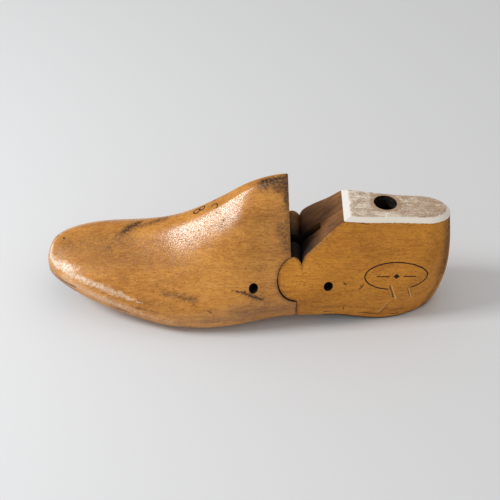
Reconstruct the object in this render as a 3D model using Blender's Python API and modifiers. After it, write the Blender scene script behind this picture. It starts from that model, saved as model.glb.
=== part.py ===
"""Hinged wooden shoe last, resting on its ball and heel seat, in metres with +Z up.

The toe points to -X. The outer (lateral) side faces -Y, the inner side +Y. The origin is
on the floor under the middle of the whole last.
"""

import math

import bmesh
import bpy
import numpy as np

# Overall last
LAST_LENGTH = 0.2794
TOE_SPRING = 0.022
SHANK_ARCH = 0.0095
BALL_EDGE_RISE = 0.0055
TOE_HEIGHT = 0.045
CONE_HEIGHT = 0.0983
TOE_TIP_HEIGHT = 0.0275
TOE_TIP_SIDE = 0.007
TOE_ROUND_LENGTH = 0.056
TOE_NOSE_SOLE = 0.003
TOE_NOSE_TOP = 0.018
HEEL_ROUND_SOLE = 0.046
HEEL_ROUND_TOP = 0.017

# Half widths of the sole, measured from the ridge line to each side
TOE_OUTER = 0.035
TOE_INNER = 0.031
BALL_OUTER = 0.050
BALL_INNER = 0.034
WAIST_OUTER = 0.038
WAIST_INNER = 0.0215
SEAT_OUTER = 0.026
SEAT_INNER = 0.0262

# Swell of the sides past the sole edge
TOE_SWELL = 0.001
WAIST_SWELL = 0.004
HEEL_SWELL = 0.002

# Curve of the heel's back: how far the sole's back edge stands ahead of the rearmost point,
# and the shares of the length between which the curve grows
HEEL_BACK_LEAN = 0.0085
HEEL_LEAN_FROM = 0.68
HEEL_LEAN_RUN_SHARE = 0.25

# Ridge of the forepart and top of the heel
BALL_RIDGE_HALF = 0.007
CONE_RIDGE_HALF = 0.0048
CONE_SIDE = 0.0055
BALL_RIDGE_SIDE = 0.0085
RIDGE_CROWN_INSET = 0.003
RIDGE_CROWN_RISE = 0.0012
HEEL_HEIGHT = 0.082
HEEL_TOP_FALL = 0.065
HEEL_TOP_SIDE = 0.001
HEEL_TOP_FRONT_HALF = 0.017
HEEL_TOP_BACK_HALF = 0.0145
HEEL_CHAMFER_DROP = 0.0035
HEEL_CHAMFER_INSET = 0.0033
HEEL_CHAMFER_FRONT_RUN = 0.0063

# Knuckle hinge and the V above it; a SHARE is a share of the length from the toe tip
KNUCKLE_SHARE = 0.62312
KNUCKLE_Z = 0.040
KNUCKLE_RADIUS = 0.0134
RUNNING_GAP = 0.0003
JOINT_FACE_AHEAD = 0.0009
SOCKET_RIM_AHEAD = 0.0048
CONE_BACK_TOP_AHEAD = 0.0069
SLOPE_FOOT_BEHIND = 0.0026
SLOPE_TOP_SHARE = 0.73014

# Saw kerf for the spring, and the holes that its pins are driven through
KERF_SIDE = -0.0025
KERF_WIDTH = 0.008
KERF_FLOOR_Z = 0.029
KERF_SAW_Z = 0.036
KERF_END_ANGLE = 62
FOREPART_SAW_RADIUS = 0.030
HEEL_SAW_RADIUS = 0.041
PIN_ROOM = 0.0018
FRONT_PIN_AHEAD = 0.030
FRONT_PIN_Z = 0.0364
REAR_PIN_BEHIND = 0.0205
REAR_PIN_Z = 0.035
PIN_HOLE_RADIUS = 0.00315
PIN_LENGTH = 0.036

# Tension spring
WIRE_RADIUS = 0.0007
COIL_RADIUS = 0.0029
COIL_PITCH = 0.0021
COIL_TURNS = 17
POINTS_PER_TURN = 9
LOOP_SLACK = 0.00075
LOOP_STRETCH = 0.0004
LOOP_HALF_ANGLE = 150
LOOP_ANGLE_STEP = 20

# Steel thimble for the jack pin
THIMBLE_SHARE = 0.83286
THIMBLE_SIDE = 0.002
THIMBLE_HOLE_RADIUS = 0.0079
THIMBLE_WALL = 0.0009
THIMBLE_LENGTH = 0.048
THIMBLE_SUNK = 0.002

# Steel plates under the heel and toe
HEEL_PLATE_THICKNESS = 0.0012
HEEL_PLATE_SHARE = 0.68432
TOE_PLATE_THICKNESS = 0.0012
TOE_PLATE_LENGTH = 0.0215

# Their nails. A nail's place is a share of its plate's length from the front, and a share of
# the half width there, across from the middle of the last.
NAIL_HEAD_RADIUS = 0.0024
NAIL_HEAD_DEPTH = 0.0011
NAIL_HEAD_RIM = 0.0002
NAIL_SHANK_RADIUS = 0.0011
NAIL_POINT_RADIUS = 0.00045
NAIL_POINT_LENGTH = 0.0025
NAIL_LENGTH = 0.012
NAIL_SUNK = 0.0002
HEEL_NAILS = [(0.096, -0.58), (0.096, 0.65), (0.55, -0.65), (0.55, 0.69), (0.8, 0.04)]
TOE_NAILS = [(0.8, -0.17), (0.8, 0.51), (0.36, 0.17)]

# How finely the shapes are cut into faces
STATIONS = 56
END_CROWDING = 0.55
TOE_CAP_FROM_TIP = 0.00025
HEEL_CAP_FROM_BACK = 0.0003
SOLE_STEPS = 4
SIDE_STEPS = 15
ROUND_SIDES = 32
NAIL_SIDES = 12
ARC_STEPS = 28
SHARP_ANGLE = 35

# How far the cutters run past what they cut
REACH = 0.2
OVERRUN = 0.02
FAR_BELOW = -0.03
FAR_ABOVE = 0.14

# Places that follow from the sizes above
TOE_X = -LAST_LENGTH / 2
KNUCKLE_X = TOE_X + KNUCKLE_SHARE * LAST_LENGTH
SLOPE_TOP_X = TOE_X + SLOPE_TOP_SHARE * LAST_LENGTH
FRONT_PIN_X = KNUCKLE_X - FRONT_PIN_AHEAD
REAR_PIN_X = KNUCKLE_X + REAR_PIN_BEHIND
PIN_RADIUS = PIN_HOLE_RADIUS - RUNNING_GAP
THIMBLE_X = TOE_X + THIMBLE_SHARE * LAST_LENGTH
THIMBLE_RADIUS = THIMBLE_HOLE_RADIUS - RUNNING_GAP
THIMBLE_TOP_Z = HEEL_HEIGHT - HEEL_TOP_FALL * (THIMBLE_X - SLOPE_TOP_X) - THIMBLE_SUNK
HEEL_PLATE_X = TOE_X + HEEL_PLATE_SHARE * LAST_LENGTH


def through(points):
    """A smooth function through (place, value) points, level at its highs, lows and flats."""
    places, values = np.array(points, float).T
    slopes = np.gradient(values, places)
    rises = np.diff(values)
    slopes[1:-1][rises[:-1] * rises[1:] <= 0] = 0

    def value_at(place):
        place = np.clip(place, places[0], places[-1])
        i = np.clip(np.searchsorted(places, place) - 1, 0, len(places) - 2)
        step = places[i + 1] - places[i]
        return hermite((place - places[i]) / step, step, values[i], values[i + 1], slopes[i], slopes[i + 1])

    return value_at


def hermite(t, step, start, end, slope_start, slope_end):
    """Cubic from start to end with the given slopes, t running from 0 to 1."""
    return (
        (2 * t**3 - 3 * t**2 + 1) * start
        + (t**3 - 2 * t**2 + t) * step * slope_start
        + (3 * t**2 - 2 * t**3) * end
        + (t**3 - t**2) * step * slope_end
    )


# The curves below are read at a share of the length, 0 at the toe tip and 1 at the heel back.
sole_line = through([
    (0, TOE_SPRING), (0.043, 0.95 * TOE_SPRING), (0.107, 0.75 * TOE_SPRING), (0.197, 0.38 * TOE_SPRING),
    (0.286, 0.1 * TOE_SPRING), (0.34, 0.02 * TOE_SPRING), (0.365, 0), (0.39, 0.01 * SHANK_ARCH),
    (0.44, 0.12 * SHANK_ARCH), (0.519, 0.58 * SHANK_ARCH),
    (0.616, SHANK_ARCH), (0.698, 0.84 * SHANK_ARCH), (0.787, 0.27 * SHANK_ARCH), (0.83, 0.08 * SHANK_ARCH),
    (0.87, 0.02 * SHANK_ARCH), (0.91, 0), (0.95, 0), (1, 0),
])
sole_edge_rise = through([
    (0, 0), (0.1, 0), (0.17, 0.2 * BALL_EDGE_RISE), (0.233, 0.64 * BALL_EDGE_RISE), (0.34, BALL_EDGE_RISE),
    (0.43, 0.82 * BALL_EDGE_RISE), (0.537, 0.27 * BALL_EDGE_RISE), (0.626, 0), (1, 0),
])
ridge_height = through([
    (0, 0.8 * TOE_HEIGHT), (0.043, 0.89 * TOE_HEIGHT), (0.125, TOE_HEIGHT), (0.243, 0.53 * CONE_HEIGHT),
    (0.315, 0.595 * CONE_HEIGHT), (0.379, 0.687 * CONE_HEIGHT), (0.44, 0.793 * CONE_HEIGHT),
    (0.515, 0.931 * CONE_HEIGHT), (0.562, 0.982 * CONE_HEIGHT), (0.60, CONE_HEIGHT), (0.64, CONE_HEIGHT),
])
ridge_side = through([
    (0, TOE_TIP_SIDE), (0.125, 0.94 * BALL_RIDGE_SIDE), (0.25, 1.06 * BALL_RIDGE_SIDE),
    (0.379, BALL_RIDGE_SIDE),
    (0.515, 1.18 * CONE_SIDE), (0.60, CONE_SIDE), (0.73, HEEL_TOP_SIDE), (1, 0.6 * HEEL_TOP_SIDE),
])
ridge_half = through([
    (0, 0.53 * TOE_OUTER), (0.125, 0.52 * TOE_OUTER), (0.243, 1.7 * BALL_RIDGE_HALF),
    (0.379, BALL_RIDGE_HALF),
    (0.515, 1.05 * CONE_RIDGE_HALF), (0.60, CONE_RIDGE_HALF), (0.66, 2 * CONE_RIDGE_HALF),
    (0.73, HEEL_TOP_FRONT_HALF), (0.88, HEEL_TOP_BACK_HALF), (1, 0.97 * HEEL_TOP_BACK_HALF),
])
outer_edge = through([
    (0, 0.85 * TOE_OUTER), (0.032, 0.9 * TOE_OUTER), (0.093, TOE_OUTER), (0.172, 0.79 * BALL_OUTER),
    (0.25, 0.915 * BALL_OUTER), (0.329, BALL_OUTER), (0.404, 0.99 * BALL_OUTER), (0.48, 0.92 * BALL_OUTER),
    (0.558, 1.08 * WAIST_OUTER), (0.623, WAIST_OUTER), (0.68, 0.91 * WAIST_OUTER), (0.73, 0.8 * WAIST_OUTER),
    (0.823, 1.04 * SEAT_OUTER), (0.877, SEAT_OUTER), (1, SEAT_OUTER),
])
inner_edge = through([
    (0, 0.87 * TOE_INNER), (0.032, 0.9 * TOE_INNER), (0.093, TOE_INNER), (0.172, 0.985 * BALL_INNER),
    (0.25, 1.015 * BALL_INNER), (0.329, BALL_INNER), (0.404, 0.9 * BALL_INNER), (0.48, 0.75 * BALL_INNER),
    (0.558, 0.98 * WAIST_INNER), (0.623, WAIST_INNER), (0.68, 1.07 * WAIST_INNER), (0.73, 1.16 * WAIST_INNER),
    (0.823, SEAT_INNER), (0.877, 1.01 * SEAT_INNER), (1, SEAT_INNER),
])
swell = through([
    (0, TOE_SWELL), (0.172, 1.5 * TOE_SWELL), (0.48, 0.7 * WAIST_SWELL), (0.623, WAIST_SWELL),
    (0.73, 0.75 * WAIST_SWELL), (0.86, HEEL_SWELL), (1, 0.75 * HEEL_SWELL),
])

# Shape of the side between the sole edge and the ridge corner: three points, each with its
# share of the height and its share of the way in from the widest line.
low_height = through([
    (0, 0.3), (0.143, 0.28), (0.358, 0.18), (0.623, 0.13), (0.73, 0.2), (0.86, 0.24), (1, 0.26),
])
mid_height = through([
    (0, 0.7), (0.143, 0.65), (0.358, 0.48), (0.623, 0.38), (0.73, 0.47), (0.86, 0.51), (1, 0.52),
])
high_height = through([
    (0, 0.95), (0.143, 0.92), (0.358, 0.78), (0.623, 0.74), (0.73, 0.77), (1, 0.8),
])
mid_way_in = through([
    (0, 0.35), (0.143, 0.3), (0.358, 0.24), (0.515, 0.3), (0.623, 0.28), (0.73, 0.2), (1, 0.15),
])
high_way_in = through([
    (0, 0.75), (0.143, 0.72), (0.358, 0.66), (0.515, 0.68), (0.623, 0.7), (0.86, 0.66), (1, 0.6),
])

# The heel's back, read at a share of its height: 0 where it stands out furthest
heel_lean = through([
    (0, -1), (0.073, -0.65), (0.195, -0.306), (0.33, -0.07), (0.49, 0), (0.65, -0.07), (0.88, -0.306),
])

# Shares of the length where the cone's ridge ends and the heel's flat top begins
CONE_UNTIL = 0.615
HEEL_TOP_FROM = 0.66
HEEL_FULL_FROM = 0.725


def rounding(distance, reach):
    """Quarter ellipse: 0 at the tip and 1 from reach onwards."""
    return math.sqrt(1 - min(max(1 - distance / reach, 0), 1) ** 2)


def blend(start, end, share):
    """Smooth step from start to end as share goes from 0 to 1."""
    share = min(max(share, 0), 1)
    return start + (end - start) * share**2 * (3 - 2 * share)


def heel_shift(distance, height):
    """Offset along X that gives the back of the heel its curve."""
    share = min(max((distance / LAST_LENGTH - HEEL_LEAN_FROM) / HEEL_LEAN_RUN_SHARE, 0), 1)
    return HEEL_BACK_LEAN * heel_lean(height / HEEL_HEIGHT) * share**2


def heel_top_plane(x):
    return HEEL_HEIGHT - HEEL_TOP_FALL * (x - SLOPE_TOP_X)


def spread(points, count):
    """Points spaced evenly on a smooth curve through the given ones."""
    points = np.asarray(points, float)
    lengths = np.linalg.norm(np.diff(points, axis=0), axis=1)
    place = np.concatenate([[0], np.cumsum(lengths + 1e-9)])
    slopes = np.gradient(points, place, axis=0)
    wanted = np.linspace(0, place[-1], count)
    i = np.clip(np.searchsorted(place, wanted) - 1, 0, len(points) - 2)
    step = (place[i + 1] - place[i])[:, None]
    t = (wanted - place[i])[:, None] / step
    return hermite(t, step, points[i], points[i + 1], slopes[i], slopes[i + 1])


def half_section(distance, side, edge_curve):
    """(y, z) points of one side, from the sole edge over the ridge corner to the crown."""
    share = distance / LAST_LENGTH
    left = LAST_LENGTH - distance
    is_heel = share > HEEL_TOP_FROM
    pull_to = HEEL_TOP_SIDE if is_heel else TOE_TIP_SIDE
    edge = edge_curve(share)
    widest = edge + swell(share)
    corner = ridge_half(share)
    bottom = sole_line(share) + sole_edge_rise(share)
    flat = heel_top_plane(TOE_X + distance + heel_shift(distance, HEEL_HEIGHT))
    over_to_heel = (share - CONE_UNTIL) / (HEEL_FULL_FROM - CONE_UNTIL)
    top = blend(ridge_height(share), flat - HEEL_CHAMFER_DROP, over_to_heel)

    def settle(y, z, up, behind=left):
        y = ridge_side(share) + side * y
        heel_reach = blend(HEEL_ROUND_SOLE, HEEL_ROUND_TOP, up)
        nose_reach = blend(TOE_NOSE_SOLE, TOE_NOSE_TOP, up)
        plan = rounding(distance, TOE_ROUND_LENGTH) * rounding(behind, heel_reach)
        nose = rounding(distance, nose_reach)
        return (pull_to + (y - pull_to) * plan, TOE_TIP_HEIGHT + (z - TOE_TIP_HEIGHT) * nose)

    rows = [settle(edge, bottom, 0)]
    for height, way_in in ((low_height, None), (mid_height, mid_way_in), (high_height, high_way_in)):
        up = height(share)
        out = widest + (corner - widest) * way_in(share) if way_in else widest
        rows.append(settle(out, bottom + (top - bottom) * up, up))
    rows.append(settle(corner, top, 1))
    if is_heel:
        rise = HEEL_CHAMFER_DROP * min(max(left / HEEL_CHAMFER_INSET, 0), 1)
        cap = settle(corner - HEEL_CHAMFER_INSET, top + rise, 1, max(left - HEEL_CHAMFER_INSET, 0))
    else:
        inset = RIDGE_CROWN_INSET * min(corner / (2 * CONE_RIDGE_HALF), 1)
        cap = settle(corner - inset, top + RIDGE_CROWN_RISE, 1)
    return np.concatenate([spread(rows, SIDE_STEPS), [cap]])


def section(distance):
    """Closed ring of (y, z), from the middle of the sole up the outer side and down the inner."""
    share = distance / LAST_LENGTH
    nose = rounding(distance, TOE_NOSE_SOLE)
    outer = half_section(distance, -1, outer_edge)
    inner = half_section(distance, 1, inner_edge)
    sole_z = TOE_TIP_HEIGHT + (sole_line(share) - TOE_TIP_HEIGHT) * nose
    middle = np.array([(outer[0, 0] + inner[0, 0]) / 2, sole_z])
    crown = (outer[-1] + inner[-1]) / 2

    def sole_row(edge, along):
        y = middle[0] + (edge[0] - middle[0]) * along
        return (y, sole_z + (edge[1] - sole_z) * along**2)

    steps = [k / SOLE_STEPS for k in range(1, SOLE_STEPS)]
    out = [sole_row(outer[0], along) for along in steps]
    back = [sole_row(inner[0], along) for along in reversed(steps)]
    return np.concatenate([[middle], out, outer, [crown], inner[::-1], back])


def station_distances():
    """Distances from the toe tip, closer together at both rounded ends."""
    even = np.linspace(0, 1, STATIONS)
    crowded = 0.5 - 0.5 * np.cos(math.pi * even)
    distances = LAST_LENGTH * (END_CROWDING * crowded + (1 - END_CROWDING) * even)
    distances[0] = TOE_CAP_FROM_TIP
    distances[-1] = LAST_LENGTH - HEEL_CAP_FROM_BACK
    return distances


def last_mesh(name):
    """Closed skin of the whole last, lofted through its sections from toe to heel."""
    rings = []
    for distance in station_distances():
        ring = section(distance)
        shifts = [heel_shift(distance, z) for z in ring[:, 1]]
        xs = TOE_X + distance + np.array(shifts)
        rings.append(np.column_stack([xs, ring]))
    count = len(rings[0])
    vertices = np.concatenate(rings)
    faces = []
    for i in range(len(rings) - 1):
        for j in range(count):
            k = (j + 1) % count
            faces.append((i * count + j, i * count + k, (i + 1) * count + k, (i + 1) * count + j))
    half = count // 2
    last = (len(rings) - 1) * count
    side_start = SOLE_STEPS + 1
    for first, flip in ((0, True), (last, False)):
        strips = [tuple(j % count for j in range(-side_start, side_start + 1))]
        strips += [(j, j + 1, count - j - 1, count - j) for j in range(side_start, half - 2)]
        strips.append(tuple(range(half - 2, half + 3)))
        for strip in strips:
            strip = strip[::-1] if flip else strip
            faces.append(tuple(first + j for j in strip))
    mesh = bpy.data.meshes.new(name)
    mesh.from_pydata(vertices.tolist(), [], faces)
    mesh.validate()
    work = bmesh.new()
    work.from_mesh(mesh)
    bmesh.ops.recalc_face_normals(work, faces=work.faces)
    work.to_mesh(mesh)
    work.free()
    return mesh


def clear_scene():
    for found in list(bpy.data.objects):
        bpy.data.objects.remove(found, do_unlink=True)


def make_collection(name):
    made = bpy.data.collections.new(name)
    bpy.context.scene.collection.children.link(made)
    return made


def make_material(name, colour, roughness, metallic):
    made = bpy.data.materials.new(name)
    made.use_nodes = True
    shader = made.node_tree.nodes["Principled BSDF"]
    shader.inputs["Base Color"].default_value = (*colour, 1)
    shader.inputs["Roughness"].default_value = roughness
    shader.inputs["Metallic"].default_value = metallic
    return made


def place_object(name, mesh, collection, material=None):
    made = bpy.data.objects.new(name, mesh)
    collection.objects.link(made)
    if material:
        mesh.materials.append(material)
    if collection is CUTTERS:
        made.hide_render = True
        made.display_type = "WIRE"
    return made


def mesh_from_curve(curve_object):
    """Turns a curve object into a closed mesh and removes the curve."""
    bpy.context.view_layer.update()
    graph = bpy.context.evaluated_depsgraph_get()
    mesh = bpy.data.meshes.new_from_object(curve_object.evaluated_get(graph))
    mesh.transform(curve_object.matrix_world)
    bpy.data.objects.remove(curve_object, do_unlink=True)
    work = bmesh.new()
    work.from_mesh(mesh)
    bmesh.ops.remove_doubles(work, verts=work.verts, dist=1e-6)
    bmesh.ops.recalc_face_normals(work, faces=work.faces)
    work.to_mesh(mesh)
    work.free()
    return mesh


def prism(name, outline, side_from, side_to):
    """Cutter with the given (x, z) outline, running along Y between two sides."""
    curve = bpy.data.curves.new(name, "CURVE")
    curve.dimensions = "2D"
    curve.fill_mode = "BOTH"
    curve.extrude = (side_to - side_from) / 2
    spline = curve.splines.new("POLY")
    spline.points.add(len(outline) - 1)
    for point, (x, z) in zip(spline.points, outline):
        point.co = (x, z, 0, 1)
    spline.use_cyclic_u = True
    holder = bpy.data.objects.new(name, curve)
    CUTTERS.objects.link(holder)
    holder.rotation_euler = (math.pi / 2, 0, 0)
    holder.location = (0, (side_from + side_to) / 2, 0)
    return place_object(name, mesh_from_curve(holder), CUTTERS)


def rod(name, radius, start, end, sides, collection, material=None):
    """Closed cylinder between two points."""
    start = np.array(start, float)
    end = np.array(end, float)
    run = end - start
    length = float(np.linalg.norm(run))
    mesh = bpy.data.meshes.new(name)
    work = bmesh.new()
    bmesh.ops.create_cone(
        work, cap_ends=True, segments=sides, radius1=radius, radius2=radius, depth=length
    )
    work.to_mesh(mesh)
    work.free()
    made = place_object(name, mesh, collection, material)
    made.location = (start + end) / 2
    made.rotation_euler = (0, math.atan2(math.hypot(run[0], run[1]), run[2]), math.atan2(run[1], run[0]))
    smooth(mesh)
    return made


def smooth(mesh):
    mesh.shade_smooth()
    mesh.set_sharp_from_angle(angle=math.radians(SHARP_ANGLE))


def cut(target, cutter, operation="DIFFERENCE"):
    modifier = target.modifiers.new(cutter.name, "BOOLEAN")
    modifier.operation = operation
    modifier.solver = "EXACT"
    modifier.object = cutter


def arc(centre, radius, start, end, steps=ARC_STEPS):
    """(x, z) points on an arc, angles in radians from +X towards +Z."""
    angles = [start + (end - start) * k / steps for k in range(steps + 1)]
    return [(centre[0] + radius * math.cos(a), centre[1] + radius * math.sin(a)) for a in angles]


def circle_angle(offset, radius, upper):
    """Angle on a circle of the point at this X offset from its centre."""
    rise = math.sqrt(radius**2 - offset**2)
    return math.atan2(rise if upper else -rise, offset)


def forepart_outline():
    """Everything ahead of the joint: below it the socket, above it the upright back of the cone."""
    ahead = JOINT_FACE_AHEAD + RUNNING_GAP / 2
    radius = KNUCKLE_RADIUS + RUNNING_GAP
    low = circle_angle(-ahead, radius, upper=False)
    rim = circle_angle(-SOCKET_RIM_AHEAD, radius, upper=True) - 2 * math.pi
    socket = arc((KNUCKLE_X, KNUCKLE_Z), radius, low, rim)
    back = [(KNUCKLE_X - CONE_BACK_TOP_AHEAD, FAR_ABOVE), (-REACH, FAR_ABOVE)]
    return [(-REACH, FAR_BELOW), (KNUCKLE_X - ahead, FAR_BELOW), *socket, *back]


def heel_outline():
    """Everything behind the joint: the knuckle, the slope of the V and the painted front chamfer."""
    ahead = JOINT_FACE_AHEAD - RUNNING_GAP / 2
    low = circle_angle(-ahead, KNUCKLE_RADIUS, upper=False)
    foot = circle_angle(SLOPE_FOOT_BEHIND, KNUCKLE_RADIUS, upper=True) - 2 * math.pi
    knuckle = arc((KNUCKLE_X, KNUCKLE_Z), KNUCKLE_RADIUS, low, foot)
    slope_top_z = HEEL_HEIGHT - HEEL_CHAMFER_DROP
    rise = HEEL_CHAMFER_DROP / HEEL_CHAMFER_FRONT_RUN
    chamfer = [(SLOPE_TOP_X, slope_top_z), (SLOPE_TOP_X + OVERRUN, slope_top_z + OVERRUN * rise)]
    back = [(SLOPE_TOP_X + OVERRUN, FAR_ABOVE), (REACH, FAR_ABOVE), (REACH, FAR_BELOW)]
    return [(KNUCKLE_X - ahead, FAR_BELOW), *knuckle, *chamfer, *back]


def kerf_outline(saw_x, radius, open_x, direction):
    """Slot with a flat floor and a round end of the saw's radius, open on the hinge side."""
    floor_angle = math.asin((KERF_FLOOR_Z - KERF_SAW_Z) / radius)
    points = arc((saw_x, KERF_SAW_Z), radius, floor_angle, math.radians(KERF_END_ANGLE))
    if direction < 0:
        points = [(2 * saw_x - x, z) for x, z in points]
    return [(open_x, KERF_FLOOR_Z), *points, (open_x, points[-1][1])]


def sole_band_outline(start, end, depth):
    """Band below a line that lies depth above the sole, between two distances from the toe."""
    points = []
    for k in range(ARC_STEPS + 1):
        distance = start + (end - start) * k / ARC_STEPS
        height = sole_line(distance / LAST_LENGTH)
        x = TOE_X + distance + heel_shift(distance, height)
        points.append((x, height + depth))
    return [(points[0][0], FAR_BELOW), *points, (points[-1][0], FAR_BELOW)]


def distance_at(x):
    """Distance from the toe tip of the section whose sole crosses this X."""
    distance = x - TOE_X
    for _ in range(20):
        distance = x - TOE_X - heel_shift(distance, sole_line(distance / LAST_LENGTH))
    return distance


def sole_point(x):
    """Height of the sole's middle line at X, and the unit normal pointing up into the wood."""
    distance = distance_at(x)
    step = 0.001
    rise = sole_line((distance + step) / LAST_LENGTH) - sole_line((distance - step) / LAST_LENGTH)
    normal = np.array([-rise / (2 * step), 0, 1])
    return sole_line(distance / LAST_LENGTH), normal / np.linalg.norm(normal)


def turned(name, profile, sides, collection, material=None):
    """Solid of revolution about Z from (radius, z) points listed from the top down."""
    mesh = bpy.data.meshes.new(name)
    vertices = [(r, 0, z) for r, z in profile]
    mesh.from_pydata(vertices, [(k, k + 1) for k in range(len(profile) - 1)], [])
    made = place_object(name, mesh, collection, material)
    screw = made.modifiers.new("turn", "SCREW")
    screw.steps = sides
    screw.render_steps = sides
    screw.use_merge_vertices = True
    screw.merge_threshold = 0.00001
    screw.use_smooth_shade = False
    return made


def nail_profile(grow):
    """Countersunk nail, head down at z = 0; grow widens it all round for its hole."""
    tip = NAIL_LENGTH + grow
    return [
        (0, tip),
        (NAIL_POINT_RADIUS + grow, tip),
        (NAIL_SHANK_RADIUS + grow, tip - NAIL_POINT_LENGTH),
        (NAIL_SHANK_RADIUS + grow, NAIL_HEAD_DEPTH),
        (NAIL_HEAD_RADIUS + grow, NAIL_HEAD_RIM),
        (NAIL_HEAD_RADIUS + grow, -2 * grow),
        (0, -2 * grow),
    ]


def add_nails(stem, shares, plate_span, half_width, plate, wood):
    """Nails through a plate into the wood, each square to the sole where it is driven."""
    front, back = plate_span
    for number, (along, across) in enumerate(shares, 1):
        x = front + (back - front) * along
        y = half_width * across
        z, normal = sole_point(x)
        seat = np.array([x, y, z]) + normal * NAIL_SUNK
        tilt = math.atan2(normal[0], normal[2])
        name = f"{stem}_nail_{number}"
        nail = turned(name, nail_profile(0), NAIL_SIDES, LAST, STEEL)
        hole = turned(f"{name}_hole", nail_profile(RUNNING_GAP), NAIL_SIDES, CUTTERS)
        for piece in (nail, hole):
            piece.location = seat
            piece.rotation_euler = (0, tilt, 0)
        cut(plate, hole)
        cut(wood, hole)


def add_plate(name, distances, thickness, wood):
    """Thin steel plate let into the sole between two distances from the toe."""
    start, end = distances
    plate = place_object(name, last_mesh(name), LAST, STEEL)
    cut(plate, prism(f"{name}_band", sole_band_outline(start, end, thickness), -REACH, REACH), "INTERSECT")
    wide = (start - RUNNING_GAP, end) if start > LAST_LENGTH / 2 else (start, end + RUNNING_GAP)
    cut(wood, prism(f"{name}_recess", sole_band_outline(*wide, thickness + RUNNING_GAP), -REACH, REACH))
    return plate


def coil_points():
    """Centre line of the spring from the front pin's loop, along the coil, to the rear pin's loop."""
    loop_radius = PIN_RADIUS + WIRE_RADIUS + LOOP_SLACK
    front = np.array([FRONT_PIN_X, KERF_SIDE, FRONT_PIN_Z])
    rear = np.array([REAR_PIN_X, KERF_SIDE, REAR_PIN_Z])
    along = (rear - front) / np.linalg.norm(rear - front)
    across = np.array([0, 1, 0])
    upward = np.cross(along, across)
    span = float(np.linalg.norm(rear - front))
    coil_length = COIL_PITCH * COIL_TURNS
    coil_start = (span - coil_length) / 2

    def loop(centre, sign):
        angles = [math.radians(a) for a in range(-LOOP_HALF_ANGLE, LOOP_HALF_ANGLE + 1, LOOP_ANGLE_STEP)]
        return [centre + loop_radius * (-sign * math.cos(a) * along + math.sin(a) * upward) for a in angles]

    count = COIL_TURNS * POINTS_PER_TURN
    coil = []
    for k in range(count + 1):
        turn = 2 * math.pi * k / POINTS_PER_TURN
        place = front + along * (coil_start + coil_length * k / count)
        coil.append(place + COIL_RADIUS * (math.sin(turn) * across + math.cos(turn) * upward))
    return loop(front, 1) + coil + loop(rear + LOOP_STRETCH * along, -1)[::-1]


def least_gap(points):
    """Smallest clear distance between stretches of the wire that lie over a third of a turn apart."""
    points = np.array(points)
    skip = POINTS_PER_TURN // 3 + 1
    gaps = [
        np.linalg.norm(points[k + skip:] - points[k], axis=1).min()
        for k in range(len(points) - skip)
    ]
    return min(gaps) - 2 * WIRE_RADIUS


def add_spring():
    points = coil_points()
    print(f"spring: least gap to itself {least_gap(points) * 1000:.2f} mm")
    curve = bpy.data.curves.new("hinge_spring", "CURVE")
    curve.dimensions = "3D"
    curve.bevel_depth = WIRE_RADIUS
    curve.bevel_resolution = 1
    curve.use_fill_caps = True
    spline = curve.splines.new("POLY")
    spline.points.add(len(points) - 1)
    pivot = np.array([FRONT_PIN_X, KERF_SIDE, FRONT_PIN_Z])
    for point, place in zip(spline.points, points):
        point.co = (*(place - pivot), 1)
    curve.materials.append(STEEL)
    made = bpy.data.objects.new("hinge_spring", curve)
    LAST.objects.link(made)
    made.location = pivot


def add_wood():
    forepart = place_object("forepart", last_mesh("forepart"), LAST, WOOD)
    cut(forepart, prism("forepart_side_of_joint", forepart_outline(), -REACH, REACH), "INTERSECT")
    heel = place_object("heel_part", last_mesh("heel_part"), LAST, WOOD)
    cut(heel, prism("heel_side_of_joint", heel_outline(), -REACH, REACH), "INTERSECT")
    return forepart, heel


def add_kerfs(forepart, heel):
    near = KERF_SIDE - KERF_WIDTH / 2
    far = KERF_SIDE + KERF_WIDTH / 2
    loop_reach = PIN_RADIUS + 2 * WIRE_RADIUS + LOOP_SLACK
    front_end = FRONT_PIN_X - loop_reach - PIN_ROOM
    rear_end = REAR_PIN_X + loop_reach + PIN_ROOM
    front = kerf_outline(front_end + FOREPART_SAW_RADIUS, FOREPART_SAW_RADIUS, KNUCKLE_X + OVERRUN, -1)
    rear = kerf_outline(rear_end - HEEL_SAW_RADIUS, HEEL_SAW_RADIUS, KNUCKLE_X - OVERRUN, 1)
    cut(forepart, prism("forepart_kerf", front, near, far))
    cut(heel, prism("heel_kerf", rear, near, far))


def add_pins(forepart, heel):
    for name, x, z, wood in (
        ("forepart_pin", FRONT_PIN_X, FRONT_PIN_Z, forepart),
        ("heel_pin", REAR_PIN_X, REAR_PIN_Z, heel),
    ):
        half = PIN_LENGTH / 2
        rod(name, PIN_RADIUS, (x, KERF_SIDE - half, z), (x, KERF_SIDE + half, z), ROUND_SIDES, LAST, STEEL)
        cut(wood, rod(f"{name}_hole", PIN_HOLE_RADIUS, (x, -REACH, z), (x, REACH, z), ROUND_SIDES, CUTTERS))


def add_thimble(heel):
    low = THIMBLE_TOP_Z - THIMBLE_LENGTH
    inner = THIMBLE_RADIUS - THIMBLE_WALL
    foot = (THIMBLE_X, THIMBLE_SIDE, low - RUNNING_GAP)
    head = (THIMBLE_X, THIMBLE_SIDE, FAR_ABOVE)
    cut(heel, rod("thimble_hole", THIMBLE_HOLE_RADIUS, foot, head, ROUND_SIDES, CUTTERS))
    profile = [
        (inner, THIMBLE_LENGTH),
        (THIMBLE_RADIUS, THIMBLE_LENGTH),
        (THIMBLE_RADIUS, 0),
        (inner, 0),
        (inner, THIMBLE_LENGTH),
    ]
    thimble = turned("thimble", profile, ROUND_SIDES, LAST, STEEL)
    thimble.location = (THIMBLE_X, THIMBLE_SIDE, low)


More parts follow.
